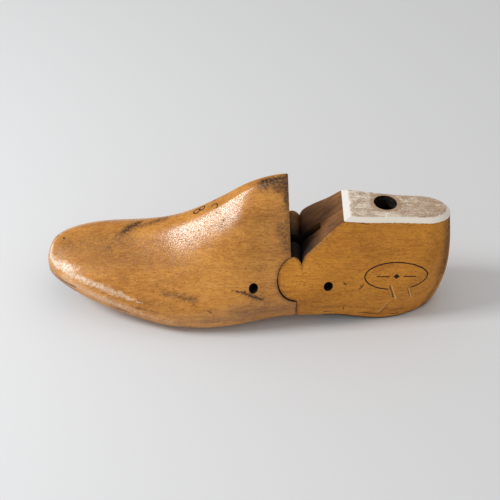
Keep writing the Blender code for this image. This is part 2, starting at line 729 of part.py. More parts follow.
clear_scene()
LAST = make_collection("shoe_last")
CUTTERS = make_collection("cutters")
WOOD = make_material("varnished_beech", (0.50, 0.27, 0.09), 0.32, 0)
STEEL = make_material("dull_steel", (0.23, 0.22, 0.21), 0.45, 1)

forepart_wood, heel_wood = add_wood()
heel_plate_ends = (distance_at(HEEL_PLATE_X), LAST_LENGTH + OVERRUN)
heel_plate = add_plate("heel_plate", heel_plate_ends, HEEL_PLATE_THICKNESS, heel_wood)
toe_plate = add_plate("toe_plate", (-OVERRUN, TOE_PLATE_LENGTH), TOE_PLATE_THICKNESS, forepart_wood)
add_nails("heel_plate", HEEL_NAILS, (HEEL_PLATE_X, -TOE_X), SEAT_OUTER, heel_plate, heel_wood)
add_nails("toe_plate", TOE_NAILS, (TOE_X, TOE_X + TOE_PLATE_LENGTH), TOE_OUTER, toe_plate, forepart_wood)
add_kerfs(forepart_wood, heel_wood)
add_pins(forepart_wood, heel_wood)
add_thimble(heel_wood)
add_spring()
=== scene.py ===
import math

import bmesh
import bpy
import numpy as np
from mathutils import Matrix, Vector
from mathutils.bvhtree import BVHTree


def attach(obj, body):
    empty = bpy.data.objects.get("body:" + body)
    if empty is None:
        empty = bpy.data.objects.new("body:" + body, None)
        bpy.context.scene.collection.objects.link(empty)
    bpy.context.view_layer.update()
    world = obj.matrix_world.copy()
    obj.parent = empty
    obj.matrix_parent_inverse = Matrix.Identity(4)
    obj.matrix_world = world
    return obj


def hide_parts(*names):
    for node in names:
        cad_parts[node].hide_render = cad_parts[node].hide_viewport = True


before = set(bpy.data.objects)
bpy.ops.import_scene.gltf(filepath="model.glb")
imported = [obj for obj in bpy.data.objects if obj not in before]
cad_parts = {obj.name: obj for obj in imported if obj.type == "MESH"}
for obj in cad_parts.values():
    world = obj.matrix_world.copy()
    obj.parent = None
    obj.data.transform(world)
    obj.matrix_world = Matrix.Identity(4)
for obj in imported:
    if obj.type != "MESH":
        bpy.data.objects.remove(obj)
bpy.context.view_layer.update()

mm = 0.001

# The whole last before it is sawn. Each curve is a list of (share of the length, value).
last = {
    "length": 279.4,
    "toeTip": {"height": 27.5, "side": 7.0, "outerRound": 56.0, "outerPower": 2, "innerRound": 38.0,
        "innerPower": 3, "noseSole": 2.0, "noseTop": 6.0},
    "heelBack": {"roundSole": 46.0, "roundTop": 17.0, "lean": 8.5, "leanFrom": 0.68, "leanRun": 0.25},
    "heelTop": {"height": 82.0, "fall": 0.065, "atX": 64.3, "side": 1.0, "from": 0.66, "blendFrom": 0.615,
        "blendTo": 0.725, "drop": 3.5, "inset": 3.3, "frontRun": 6.3},
    "crest": {"from": 0.24, "reach": 7.0, "fade": 12.0, "until": 0.34, "run": 0.16},
    "crown": {"inset": 3.0, "rise": 1.2, "width": 9.6, "bulge": 0.045, "fade": 30.0},
    # How far the edges are rounded. Pairs run from the forepart to the heel.
    "bends": {"from": 0.62, "run": 0.07, "edge": 1.3, "edgeShare": 0.3, "corner": (7.0, 0.45),
        "cornerShare": 0.25, "capStart": (3.0, 0.35), "capShare": 0.45, "capEnd": (4.0, 0.35),
        "capEndShare": 0.4},
    "stations": 330,
    "spacing": {"crowded": 0.7, "even": 0.3, "endGap": 0.03},
    "rows": {"sole": 12, "edge": 6, "side": 66, "corner": 9, "cap": 6, "top": 11},
    "sole": [(0, 22), (0.043, 20.9), (0.107, 16.5), (0.197, 8.36), (0.286, 2.2), (0.34, 0.44),
        (0.365, 0), (0.39, 0.095), (0.44, 1.14), (0.519, 5.51), (0.616, 9.5), (0.698, 7.98),
        (0.787, 2.565), (0.83, 0.76), (0.87, 0.19), (0.91, 0), (0.95, 0), (1, 0)],
    "edgeRise": [(0, 0), (0.1, 0), (0.17, 1.1), (0.233, 3.52), (0.34, 5.5), (0.43, 4.51), (0.537, 1.485),
        (0.626, 0), (1, 0)],
    "ridgeHeight": [(0, 36), (0.043, 40.05), (0.125, 45), (0.243, 52.1), (0.315, 58.49), (0.379, 67.53),
        (0.44, 77.95), (0.515, 91.52), (0.562, 96.53), (0.60, 98.3), (0.64, 98.3)],
    "ridgeSide": [(0, 7), (0.125, 7.99), (0.25, 9.01), (0.379, 8.5), (0.515, 6.49), (0.60, 5.5),
        (0.73, 1), (1, 0.6)],
    "swell": [(0, 1), (0.172, 1.5), (0.48, 2.8), (0.623, 4), (0.73, 3), (0.86, 2), (1, 1.5)],
    "heelLean": [(0, -1), (0.073, -0.65), (0.195, -0.306), (0.33, -0.07), (0.49, 0), (0.65, -0.07),
        (0.88, -0.306)],
    # The outer side is a long dome from the crest of the toe, with a rounder cone.
    "outerEdge": [(0, 29.75), (0.032, 31.5), (0.093, 34.6), (0.14, 36.6), (0.172, 38.7), (0.25, 45.6),
        (0.329, 50), (0.404, 49.5), (0.48, 46), (0.558, 41.04), (0.623, 38), (0.68, 34.58), (0.73, 30.4),
        (0.823, 27.04), (0.877, 26), (1, 26)],
    "outerRidgeHalf": [(0, 3), (0.15, 3), (0.29, 5), (0.37, 6.5), (0.419, 7), (0.515, 5.04), (0.6, 4.8),
        (0.66, 9.6), (0.73, 17), (0.88, 14.5), (1, 14.07)],
    "outerLowHeight": [(0, 0.25), (0.143, 0.2), (0.398, 0.18), (0.623, 0.13), (0.73, 0.2), (0.86, 0.24),
        (1, 0.26)],
    "outerMidHeight": [(0, 0.5), (0.08, 0.47), (0.143, 0.43), (0.29, 0.43), (0.398, 0.47), (0.48, 0.52),
        (0.53, 0.48), (0.623, 0.4), (0.73, 0.47), (0.86, 0.51), (1, 0.52)],
    "outerHighHeight": [(0, 0.8), (0.08, 0.77), (0.143, 0.76), (0.31, 0.76), (0.398, 0.8), (0.48, 0.85),
        (0.515, 0.83), (0.623, 0.78), (0.73, 0.77), (1, 0.8)],
    "outerMidWayIn": [(0, 0.05), (0.143, 0.07), (0.25, 0.14), (0.398, 0.24), (0.515, 0.3), (0.623, 0.28),
        (0.73, 0.2), (1, 0.15)],
    "outerHighWayIn": [(0, 0.4), (0.143, 0.42), (0.25, 0.56), (0.398, 0.66), (0.515, 0.68), (0.623, 0.7),
        (0.86, 0.66), (1, 0.6)],
    # The inner side is fuller at the waist, where the V shows it.
    "innerEdge": [(0, 26.97), (0.032, 27.9), (0.093, 31), (0.172, 33.49), (0.25, 34.51), (0.329, 34),
        (0.404, 30.6), (0.48, 25.5), (0.558, 22.6), (0.623, 24.2), (0.68, 25.0), (0.73, 25.6),
        (0.823, 26.2), (0.877, 26.46), (1, 26.2)],
    "innerRidgeHalf": [(0, 18.55), (0.125, 18.2), (0.243, 11.9), (0.379, 7), (0.515, 5.04), (0.60, 4.8),
        (0.66, 9.6), (0.73, 17), (0.88, 14.5), (1, 14.07)],
    "innerLowHeight": [(0, 0.3), (0.143, 0.28), (0.358, 0.18), (0.623, 0.13), (0.73, 0.2), (0.86, 0.24),
        (1, 0.26)],
    "innerMidHeight": [(0, 0.7), (0.143, 0.65), (0.358, 0.48), (0.623, 0.38), (0.73, 0.47), (0.86, 0.51),
        (1, 0.52)],
    "innerHighHeight": [(0, 0.95), (0.143, 0.92), (0.358, 0.78), (0.623, 0.74), (0.73, 0.77), (1, 0.8)],
    "innerMidWayIn": [(0, 0.35), (0.143, 0.3), (0.358, 0.24), (0.515, 0.26), (0.6, 0.12), (0.66, 0.12),
        (0.73, 0.18), (1, 0.15)],
    "innerHighWayIn": [(0, 0.75), (0.143, 0.72), (0.358, 0.66), (0.515, 0.66), (0.6, 0.5), (0.66, 0.5),
        (0.73, 0.62), (1, 0.6)],
}
toeX = -last["length"] / 2


# Cubic from a to b over a step, with slopes sa and sb: h00 a + h10 step sa + h01 b + h11 step sb.
def cubic(t, step, a, b, sa, sb):
    return ((2 * t**3 - 3 * t**2 + 1) * a + (t**3 - 2 * t**2 + t) * step * sa
            + (3 * t**2 - 2 * t**3) * b + (t**3 - t**2) * step * sb)


# Curve of cubics through the points, level at highs, lows and flats. It gives the mean of five close
# readings with weights 1 4 6 4 1, so that its bend has no jumps.
def curveThrough(points, soften=0.008):
    places, values = np.array(points, float).T
    slopes = np.gradient(values, places)
    rises = np.diff(values)
    slopes[1:-1][rises[:-1] * rises[1:] <= 0] = 0

    def read(place):
        place = np.clip(place, places[0], places[-1])
        i = np.clip(np.searchsorted(places, place) - 1, 0, len(places) - 2)
        step = places[i + 1] - places[i]
        return cubic((place - places[i]) / step, step, values[i], values[i + 1], slopes[i], slopes[i + 1])

    def softened(place):
        place = np.asarray(place, float)
        return sum(w * read(place + k * soften) for k, w in ((-2, 1), (-1, 4), (0, 6), (1, 4), (2, 1))) / 16

    return softened


curves = {name: curveThrough(points) for name, points in last.items() if isinstance(points, list)}


# Quarter of an oval: (1 - (1 - d / reach)^p)^(1 / p), 0 at the tip and 1 from reach onwards.
def rounding(distance, reach, power=2):
    return (1 - np.clip(1 - distance / reach, 0, 1) ** power) ** (1 / power)


# Smooth step a + (b - a) s^2 (3 - 2 s).
def blend(a, b, share):
    share = np.clip(share, 0, 1)
    return a + (b - a) * share**2 * (3 - 2 * share)


# Offset along X that leans the heel's back: lean * curve(height) * (how far back)^2.
def heelShift(distance, height):
    back = last["heelBack"]
    share = np.clip((distance / last["length"] - back["leanFrom"]) / back["leanRun"], 0, 1)
    return back["lean"] * curves["heelLean"](height / last["heelTop"]["height"]) * share**2


# Height of the heel's flat top: a plane that falls gently to the back.
def heelPlane(x):
    top = last["heelTop"]
    return top["height"] - top["fall"] * (x - top["atX"])


# Length of vectors, kept as a last axis: the square root of v . v.
def lengthOf(v):
    return np.linalg.norm(v, axis=-1, keepdims=True)


# Vectors of length 1: v / |v|.
def unit(v):
    return v / np.maximum(lengthOf(v), 1e-9)


# Spline with a steady bend through five points per station, read at count places between two
# lengths along it. Inner slopes m solve h1 m0 + 2 (h0 + h1) m1 + h0 m2 = 3 (h1 d0 + h0 d1).
def splineRows(points, startLength, endShort, count):
    h = lengthOf(np.diff(points, axis=1)) + 1e-6
    d = np.diff(points, axis=1) / h
    n = len(points)
    matrix = np.zeros((n, 3, 3))
    for k in range(3):
        matrix[:, k, k] = 2 * (h[:, k, 0] + h[:, k + 1, 0])
    matrix[:, 0, 1], matrix[:, 1, 0] = h[:, 0, 0], h[:, 2, 0]
    matrix[:, 1, 2], matrix[:, 2, 1] = h[:, 1, 0], h[:, 3, 0]
    right = 3 * (h[:, 1:] * d[:, :-1] + h[:, :-1] * d[:, 1:])
    right[:, 0] -= h[:, 1] * d[:, 0]
    right[:, 2] -= h[:, 2] * d[:, 3]
    slopes = np.concatenate([d[:, :1], np.linalg.solve(matrix, right), d[:, 3:]], axis=1)
    place = np.concatenate([np.zeros((n, 1)), np.cumsum(h[..., 0], axis=1)], axis=1)
    start = np.broadcast_to(startLength, (n,))[:, None]
    end = place[:, -1:] - np.broadcast_to(endShort, (n,))[:, None]
    wanted = start + (end - start) * np.linspace(0, 1, count)
    i = (wanted[:, :, None] >= place[:, None, 1:-1]).sum(axis=2)
    pick = lambda table: np.take_along_axis(table, i[..., None].repeat(table.shape[-1], -1), axis=1)
    step = pick(h)
    t = (wanted - np.take_along_axis(place, i, axis=1))[..., None] / step
    ends = (points[:, :-1], points[:, 1:], slopes[:, :-1], slopes[:, 1:])
    return cubic(t, step, *(pick(table) for table in ends))


# Rounds a corner: (1-t)^2 a + 2 t (1-t) corner + t^2 b.
def filletRows(a, corner, b, count):
    t = np.linspace(0, 1, count)[None, :, None]
    return (1 - t) ** 2 * a[:, None] + 2 * t * (1 - t) * corner[:, None] + t**2 * b[:, None]


# (y, z) places of one side for all stations at once: the five points that it goes through, the cap's
# inner end, and the height of the sole's middle. name is outer or inner, side its sign along Y.
def sidePoints(distance, name, side):
    share = distance / last["length"]
    left = last["length"] - distance
    tip, back, top, crown = (last[key] for key in ("toeTip", "heelBack", "heelTop", "crown"))
    onHeel = share > top["from"]
    pullTo = np.where(onHeel, top["side"], tip["side"])
    edge = curves[name + "Edge"](share)
    widest = edge + curves["swell"](share)
    corner = curves[name + "RidgeHalf"](share)
    soleZ = curves["sole"](share)
    bottom = soleZ + curves["edgeRise"](share)
    flat = heelPlane(toeX + distance + heelShift(distance, top["height"])) - top["drop"]
    toHeel = (share - top["blendFrom"]) / (top["blendTo"] - top["blendFrom"])
    topZ = blend(curves["ridgeHeight"](share), flat, toHeel)

    def settle(y, z, up, behind=left):
        y = curves["ridgeSide"](share) + side * y
        toePlan = rounding(distance, tip[name + "Round"], tip[name + "Power"])
        plan = toePlan * rounding(behind, blend(back["roundSole"], back["roundTop"], up))
        nose = rounding(distance, blend(tip["noseSole"], tip["noseTop"], up))
        return np.stack([pullTo + (y - pullTo) * plan, tip["height"] + (z - tip["height"]) * nose], axis=-1)

    points = [settle(edge, bottom, 0)]
    for level in ("Low", "Mid", "High"):
        up = curves[name + level + "Height"](share)
        wayIn = 0 if level == "Low" else curves[name + level + "WayIn"](share)
        points.append(settle(widest + (corner - widest) * wayIn, bottom + (topZ - bottom) * up, up))
    points.append(settle(corner, topZ, 1))
    rise = top["drop"] * np.clip(left / top["inset"], 0, 1)
    heelCap = settle(corner - top["inset"], topZ + rise, 1, np.maximum(left - top["inset"], 0))
    crownInset = crown["inset"] * np.minimum(corner / crown["width"], 1)
    toeCap = settle(corner - crownInset, topZ + crown["rise"], 1)
    middleZ = tip["height"] + (soleZ - tip["height"]) * rounding(distance, tip["noseSole"])
    return np.stack(points, axis=1), np.where(onHeel[:, None], heelCap, toeCap), middleZ


# Softens the crest: each point goes to the mean of its ring, weighted exp(-(way along it / reach)^2).
# The change fades out at both ends of the part that is softened, and towards the heel.
def softenCrest(ring, distance):
    crest, share = last["crest"], distance / last["length"]
    first = int(crest["from"] * ring.shape[1])
    part = ring[:, first:ring.shape[1] - first + 1]
    along = np.cumsum(lengthOf(np.diff(part, axis=1, prepend=part[:, :1]))[..., 0], axis=1)
    weight = np.exp(-((along[:, :, None] - along[:, None]) / crest["reach"]) ** 2)
    weight = weight * np.gradient(along, axis=1)[:, None]
    mean = weight @ part / weight.sum(axis=2, keepdims=True)
    fade = blend(0, 1, np.minimum(along, along[:, -1:] - along) / crest["fade"])
    fade = fade * blend(1, 0, (share - crest["until"]) / crest["run"])[:, None]
    part += (mean - part) * fade[..., None]
    return ring


# Half a ring, from the sole's middle up one side to the crown's, and how far the crown bulges there.
# In turn: half sole, worn edge, side, corner, cap, half top. Bends are no longer than a share of their side.
def halfRing(distance, points, cap, middle, crownMiddle):
    rows, bends, share = last["rows"], last["bends"], distance / last["length"]
    toHeel = blend(0, 1, (share - bends["from"]) / bends["run"])
    edge, corner = points[:, 0], points[:, -1]
    halfSole = np.abs(edge[:, 0] - middle[:, 0])
    total = lengthOf(np.diff(points, axis=1)).sum(axis=(1, 2))
    edgeRound = np.minimum(bends["edge"], np.minimum(halfSole, total) * bends["edgeShare"])
    cornerRound = np.minimum(blend(*bends["corner"], toHeel), total * bends["cornerShare"])
    capMost = lengthOf(cap - corner)[:, 0] * bends["capShare"]
    out = np.arange(rows["sole"]) / rows["sole"] * (1 - edgeRound / np.maximum(halfSole, 0.01))[:, None]
    sole = middle[:, None] + (edge - middle)[:, None] * np.stack([out, out**2], axis=-1)
    side = splineRows(points, edgeRound, cornerRound, rows["side"])
    soleEnd = edge + unit(middle - edge) * edgeRound[:, None]
    edgeRows = filletRows(soleEnd, edge, side[:, 0], rows["edge"])[:, :-1]
    cornerEnd = corner + unit(cap - corner) * np.minimum(cornerRound, capMost)[:, None]
    cornerRows = filletRows(side[:, -1], corner, cornerEnd, rows["corner"])[:, 1:]
    toMiddle = crownMiddle - cap
    width = lengthOf(toMiddle)[:, 0]
    capStart = cap + unit(corner - cap) * np.minimum(blend(*bends["capStart"], toHeel), capMost)[:, None]
    inwards = np.minimum(blend(*bends["capEnd"], toHeel) / np.maximum(width, 0.01), bends["capEndShare"])
    capEnd = cap + toMiddle * inwards[:, None]
    capRows = filletRows(capStart, cap, capEnd, rows["cap"])
    t = (np.arange(1, rows["top"]) / rows["top"])[None, :, None]
    topRows = capEnd[:, None] + (crownMiddle - capEnd)[:, None] * t
    bulge = np.where(share > last["heelTop"]["from"], 0, last["crown"]["bulge"]) * width
    fade = rounding(distance, last["crown"]["fade"])
    topRows[..., 1] += bulge[:, None] * (1 - (1 - t[..., 0]) ** 2) * fade[:, None]
    return np.concatenate([sole, edgeRows, side, cornerRows, capRows, topRows], axis=1), bulge * fade


# All rings as one array (stations, ring, xyz), from the middle of the sole round the outer side.
def lastRings():
    spacing, even = last["spacing"], np.linspace(0, 1, last["stations"])
    crowded = 0.5 - 0.5 * np.cos(math.pi * even)
    distance = last["length"] * (spacing["crowded"] * crowded + spacing["even"] * even)
    distance[0], distance[-1] = spacing["endGap"], last["length"] - spacing["endGap"]
    sides = [sidePoints(distance, name, side) for name, side in (("outer", -1), ("inner", 1))]
    middleY = (sides[0][0][:, 0, 0] + sides[1][0][:, 0, 0]) / 2
    crownMiddle = (sides[0][1] + sides[1][1]) / 2
    (outer, outerBulge), (inner, innerBulge) = [
        halfRing(distance, points, cap, np.stack([middleY, middleZ], axis=-1), crownMiddle)
        for points, cap, middleZ in sides]
    crownMiddle[:, 1] += (outerBulge + innerBulge) / 2
    ring = np.concatenate([outer, crownMiddle[:, None], inner[:, :0:-1]], axis=1)
    ring = softenCrest(ring, distance)
    x = toeX + distance[:, None] + heelShift(distance[:, None], ring[..., 1])
    return np.concatenate([x[..., None], ring], axis=-1)


# Mesh from points and faces. Points closer than a distance are joined, and faces are turned outwards.
def meshOf(name, vertices, faces, closer=0.00001):
    mesh = bpy.data.meshes.new(name)
    mesh.from_pydata(vertices.tolist(), [], faces)
    work = bmesh.new()
    work.from_mesh(mesh)
    bmesh.ops.remove_doubles(work, verts=work.verts, dist=closer)
    bmesh.ops.dissolve_degenerate(work, dist=closer, edges=work.edges)
    bmesh.ops.recalc_face_normals(work, faces=work.faces)
    work.to_mesh(mesh)
    work.free()
    return mesh


# Grid of points (across, round, xyz) as a mesh; the grid closes round, and a point closes each end.
def closedGrid(name, grid):
    n, m = grid.shape[:2]
    ends = np.stack([grid[0].mean(axis=0), grid[-1].mean(axis=0)])
    vertices = np.concatenate([grid.reshape(-1, 3), ends]) * mm
    i, j = np.meshgrid(np.arange(n - 1), np.arange(m), indexing="ij")
    k = (j + 1) % m
    quads = np.stack([i * m + j, i * m + k, (i + 1) * m + k, (i + 1) * m + j], axis=-1).reshape(-1, 4)
    j = np.arange(m)
    k = (j + 1) % m
    fans = np.concatenate([np.stack([k, j, np.full(m, n * m)], axis=-1),
                           np.stack([(n - 1) * m + j, (n - 1) * m + k, np.full(m, n * m + 1)], axis=-1)])
    return meshOf(name, vertices, quads.tolist() + fans.tolist())


# A new object in the scene, with its finishes.
def addObject(name, data, *materials):
    for material in materials:
        data.materials.append(material)
    made = bpy.data.objects.new(name, data)
    bpy.context.scene.collection.objects.link(made)
    return made


print("last: working out the surface")
wholeLast = closedGrid("wholeLast", lastRings())
print("last:", len(wholeLast.vertices), "points")


# The knuckle hinge and the V, in the last's own millimetres. The gaps are the worn ones that show.
hinge = {"x": 34.4, "z": 40.0, "radius": 13.4, "socketRadius": 14.15, "socketDrop": 0.45, "faceAhead": 0.9,
         "faceGap": 0.42, "rimAhead": 4.8, "coneBackAhead": 6.9, "coneTop": 99.9, "topRound": 3.6,
         "topSteps": 24, "lobeAhead": 3.2, "steps": 120,
         "notch": [(-1.4, 12.7), (0.4, 11.5), (1.8, 9.8), (2.5, 8.3), (3.2, 11.0), (4.4, 13.8), (7.1, 17.0)]}
# The saw kerf that the spring lies in, and the holes that are bored in the wood.
kerf = {"side": -2.5, "width": 8.0, "floor": 29.0, "sawZ": 36.0, "endAngle": 62, "forepartSaw": 30.0,
        "heelSaw": 41.0, "steps": 60, "overrun": 20, "pinRoom": 1.8}
pins = {"front": (4.4, 36.4), "rear": (54.9, 35.0), "holeRadius": 3.15, "radius": 2.85, "sides": 64}
thimbleHole = {"at": (93.0, 2.0), "radius": 7.9, "foot": 29.83, "sides": 80}
plates = {"thickness": 1.2, "gap": 0.3, "heelFrom": 51.5, "toeLength": 21.5, "overrun": 20, "bandSteps": 80,
          "heelNails": [(60.0, -15.1), (60.0, 16.9), (100.0, -16.9), (100.0, 17.9), (122.1, 1.0)],
          "toeNails": [(-122.5, -5.95), (-122.5, 17.85), (-131.96, 5.95)]}
nailHole = {"head": 2.55, "shank": 1.4, "above": -1.0, "rim": 0.35, "headDepth": 1.1, "foot": 12.8,
            "sides": 24}
# How far cutters reach past the wood, and the angle from which an edge stays sharp.
saw = {"far": 200.0, "below": -30, "above": 140, "sharpAngle": 32}


# Points on an arc: centre + radius (cos a, sin a), a running evenly from start to end.
def arcPoints(centre, radius, start, end, steps):
    a = np.linspace(start, end, steps + 1)
    return np.stack([centre[0] + radius * np.cos(a), centre[1] + radius * np.sin(a)], axis=-1)


# Angle on a circle of the point that stands offset along X from its centre.
def angleAt(offset, radius, upper):
    rise = math.sqrt(radius**2 - offset**2)
    return math.atan2(rise if upper else -rise, offset)


# A closed (x, z) outline carried along Y between two sides: points (x, y0, z) and (x, y1, z).
def prismMesh(name, outline, nearSide, farSide):
    outline = np.asarray(outline, float)
    n = len(outline)
    rings = [np.insert(outline, 1, y, axis=1) for y in (nearSide, farSide)]
    j = np.arange(n)
    k = (j + 1) % n
    faces = np.stack([j, k, k + n, j + n], axis=-1).tolist() + [j[::-1].tolist(), (j + n).tolist()]
    return meshOf(name, np.concatenate(rings) * mm, faces)


# Profile (radius, height) turned about an axis: start + along * height + radius (cos a, sin a).
def turnedMesh(name, profile, start, along, sides):
    along = np.array(along, float) / np.linalg.norm(along)
    across = np.cross(along, (0.0, 1.0, 0.0) if abs(along[1]) < 0.9 else (1.0, 0.0, 0.0))
    across /= np.linalg.norm(across)
    other = np.cross(along, across)
    a = np.linspace(0, 2 * math.pi, sides, endpoint=False)
    circle = np.cos(a)[:, None] * across + np.sin(a)[:, None] * other
    grid = np.array([np.array(start) + along * h + r * circle for r, h in profile])
    return closedGrid(name, grid)


# One mesh from several that do not touch.
def joinMeshes(name, meshes):
    work = bmesh.new()
    for mesh in meshes:
        work.from_mesh(mesh)
    joined = bpy.data.meshes.new(name)
    work.to_mesh(joined)
    work.free()
    return joined


# Height of the sole's middle line and its direction at a distance from the toe.
def soleAt(distance, step=0.002):
    share = np.asarray(distance, float) / last["length"]
    rise = (curves["sole"](share + step) - curves["sole"](share - step)) / (2 * step * last["length"])
    return curves["sole"](share), rise


# Distance from the toe of the section whose sole lies at x: d = x - tip - shift(d), found by repeating.
def distanceAt(x, repeats=20):
    d = x - toeX
    for _ in range(repeats):
        d = x - toeX - heelShift(d, curves["sole"](d / last["length"]))
    return float(d)


# Band under the line that lies depth above the sole.
def soleBand(start, end, depth):
    d = np.linspace(start, end, plates["bandSteps"])
    z = soleAt(d)[0]
    x = toeX + d + heelShift(d, z)
    line = np.stack([x, z + depth], axis=-1)
    return np.concatenate([[[line[0, 0], saw["below"]]], line, [[line[-1, 0], saw["below"]]]])


# Takes cutters from a copy of the whole last, or keeps what lies inside them, and leaves one finished mesh.
# The new faces get the cutter's own finish.
def carve(name, material, steps):
    solid = addObject(name, wholeLast.copy(), material)
    cutters = []
    for operation, cutterMesh, finish in steps:
        cutter = addObject("cutter", cutterMesh, finish)
        cutters.append(cutter)
        boolean = solid.modifiers.new("saw", "BOOLEAN")
        boolean.operation = operation
        boolean.solver = "EXACT"
        boolean.material_mode = "TRANSFER"
        boolean.object = cutter
    graph = bpy.context.evaluated_depsgraph_get()
    made = bpy.data.meshes.new_from_object(solid.evaluated_get(graph))
    for used in cutters + [solid]:
        bpy.data.objects.remove(used, do_unlink=True)
    made.name = name
    made.shade_smooth()
    made.set_sharp_from_angle(angle=math.radians(saw["sharpAngle"]))
    print("wood and steel:", name, "has", len(made.polygons), "faces")
    return addObject(name, made)


# Everything ahead of the joint: upright face, socket, back of the cone and its worn top corner.
def forepartOutline():
    faceX = hinge["x"] - hinge["faceAhead"] - hinge["faceGap"] / 2
    centre = (hinge["x"], hinge["z"] - hinge["socketDrop"])
    low = angleAt(faceX - hinge["x"], hinge["socketRadius"], False)
    rim = angleAt(-hinge["rimAhead"], hinge["socketRadius"], True) - 2 * math.pi
    socket = arcPoints(centre, hinge["socketRadius"], low, rim, hinge["steps"])
    topX, topRound = hinge["x"] - hinge["coneBackAhead"] - hinge["topRound"], hinge["topRound"]
    worn = arcPoints((topX, hinge["coneTop"] - topRound), topRound, 0, math.pi / 2, hinge["topSteps"])
    return [(-saw["far"], saw["below"]), (faceX, saw["below"]), *socket, *worn, (topX, saw["above"]),
            (-saw["far"], saw["above"])]


# Everything behind the joint: upright face, knuckle, the notch at the foot of the V and its slope.
def heelOutline():
    top = last["heelTop"]
    faceX = hinge["x"] - hinge["faceAhead"] + hinge["faceGap"] / 2
    low = angleAt(faceX - hinge["x"], hinge["radius"], False)
    lobe = angleAt(-hinge["lobeAhead"], hinge["radius"], True) - 2 * math.pi
    knuckle = arcPoints((hinge["x"], hinge["z"]), hinge["radius"], low, lobe, hinge["steps"])
    notch = [(hinge["x"] + x, hinge["z"] + z) for x, z in hinge["notch"]]
    return [(faceX, saw["below"]), *knuckle, *notch, (top["atX"], top["height"] - top["drop"]),
            (top["atX"], saw["above"]), (saw["far"], saw["above"]), (saw["far"], saw["below"])]


# What the painted front edge of the heel's top takes off: all above a line that rises by drop over frontRun.
def chamferOutline(ahead=-5, behind=20):
    top = last["heelTop"]
    startZ, rise = top["height"] - top["drop"], top["drop"] / top["frontRun"]
    line = [(top["atX"] + d, startZ + d * rise) for d in (ahead, behind)]
    return line + [(top["atX"] + behind, saw["above"]), (top["atX"] + ahead, saw["above"])]


# Slot with a flat floor and a round end of the saw's radius, open at the hinge.
def kerfOutline(endX, radius, openX, direction):
    sawX = endX - direction * radius
    points = arcPoints((0, kerf["sawZ"]), radius, math.asin((kerf["floor"] - kerf["sawZ"]) / radius),
                       math.radians(kerf["endAngle"]), kerf["steps"])
    points[:, 0] = sawX + direction * points[:, 0]
    return [(openX, kerf["floor"]), *points, (openX, points[-1, 1])]



# A value in a shader. Arithmetic on it adds Math nodes, or Vector Math nodes where it is a vector.
class Wire:
    def __init__(self, socket):
        self.socket = socket
        self.tree = socket.id_data

    def __add__(self, other):
        return maths("ADD", self, other)

    def __radd__(self, other):
        return maths("ADD", other, self)

    def __sub__(self, other):
        return maths("SUBTRACT", self, other)

    def __rsub__(self, other):
        return maths("SUBTRACT", other, self)

    def __mul__(self, other):
        return maths("MULTIPLY", self, other)

    def __truediv__(self, other):
        return maths("DIVIDE", self, other)

    def dot(self, other):
        return maths("DOT_PRODUCT", self, other)

    def scaled(self, factor):
        inputs = {0: self, "Scale": factor}
        return addNode(self.tree, "ShaderNodeVectorMath", inputs, operation="SCALE")["Vector"]

    # Smooth 0 to 1 as the value goes from low to high; low may be the larger.
    def mask(self, low, high):
        return addNode(self.tree, "ShaderNodeMapRange", {"Value": self, "From Min": low, "From Max": high},
                       interpolation_type="SMOOTHSTEP", clamp=True)["Result"]

    # Noise at a place. A scale of three numbers stretches the place first.
    def noise(self, scale, detail=3.0, roughness=0.5, distortion=0.0, output="Fac"):
        place, scale = (self * scale, 1.0) if isinstance(scale, tuple) else (self, scale)
        return addNode(self.tree, "ShaderNodeTexNoise", {
            "Vector": place, "Scale": scale, "Detail": detail, "Roughness": roughness,
            "Distortion": distortion})[output]


# Feeds an input with a wire, a number, a vector or a colour.
def feed(socket, value):
    if isinstance(value, Wire):
        value.tree.links.new(value.socket, socket)
    else:
        socket.default_value = (*value, 1) if socket.type == "RGBA" and len(value) == 3 else value


# Adds a node, sets it up, feeds its inputs, and gives its outputs back as wires.
def addNode(tree, kind, inputs=None, **settings):
    made = tree.nodes.new(kind)
    for key, value in settings.items():
        setattr(made, key, value)
    for key, value in (inputs or {}).items():
        feed(made.inputs[key], value)
    return {output.name: Wire(output) for output in made.outputs if output.enabled}


# A Math node, or a Vector Math node where the first wire is a vector.
def maths(operation, *values, clamp=False):
    first = next(value for value in values if isinstance(value, Wire))
    inputs = dict(enumerate(values))
    if first.socket.type == "VALUE":
        return addNode(first.tree, "ShaderNodeMath", inputs, operation=operation, use_clamp=clamp)["Value"]
    made = addNode(first.tree, "ShaderNodeVectorMath", inputs, operation=operation)
    return made["Value" if operation in ("DOT_PRODUCT", "LENGTH", "DISTANCE") else "Vector"]


# Mixes two colours: the Mix node keeps those at its inputs 6 and 7.
def mix(factor, a, b):
    return addNode(factor.tree, "ShaderNodeMix", {0: factor, 6: a, 7: b}, data_type="RGBA",
                   clamp_factor=True)["Result"]


# A shader node group. Inputs and outputs are {"name": value}: None is a vector, four numbers a colour.
def newGroup(name, inputs, outputs):
    group = bpy.data.node_groups.new(name, "ShaderNodeTree")
    for way, sockets in (("INPUT", inputs), ("OUTPUT", outputs)):
        for key, value in sockets.items():
            kind = "Vector" if value is None else "Color" if isinstance(value, tuple) else "Float"
            socket = group.interface.new_socket(key, in_out=way, socket_type="NodeSocket" + kind)
            if way == "INPUT" and value is not None:
                socket.default_value = value
    return group, addNode(group, "NodeGroupInput"), group.nodes.new("NodeGroupOutput").inputs


# Adds a node that runs a shared group; its Vector input is a wire and gives the tree.
def useGroup(key, inputs):
    return addNode(inputs["Vector"].tree, "ShaderNodeGroup", inputs, node_tree=groups[key])


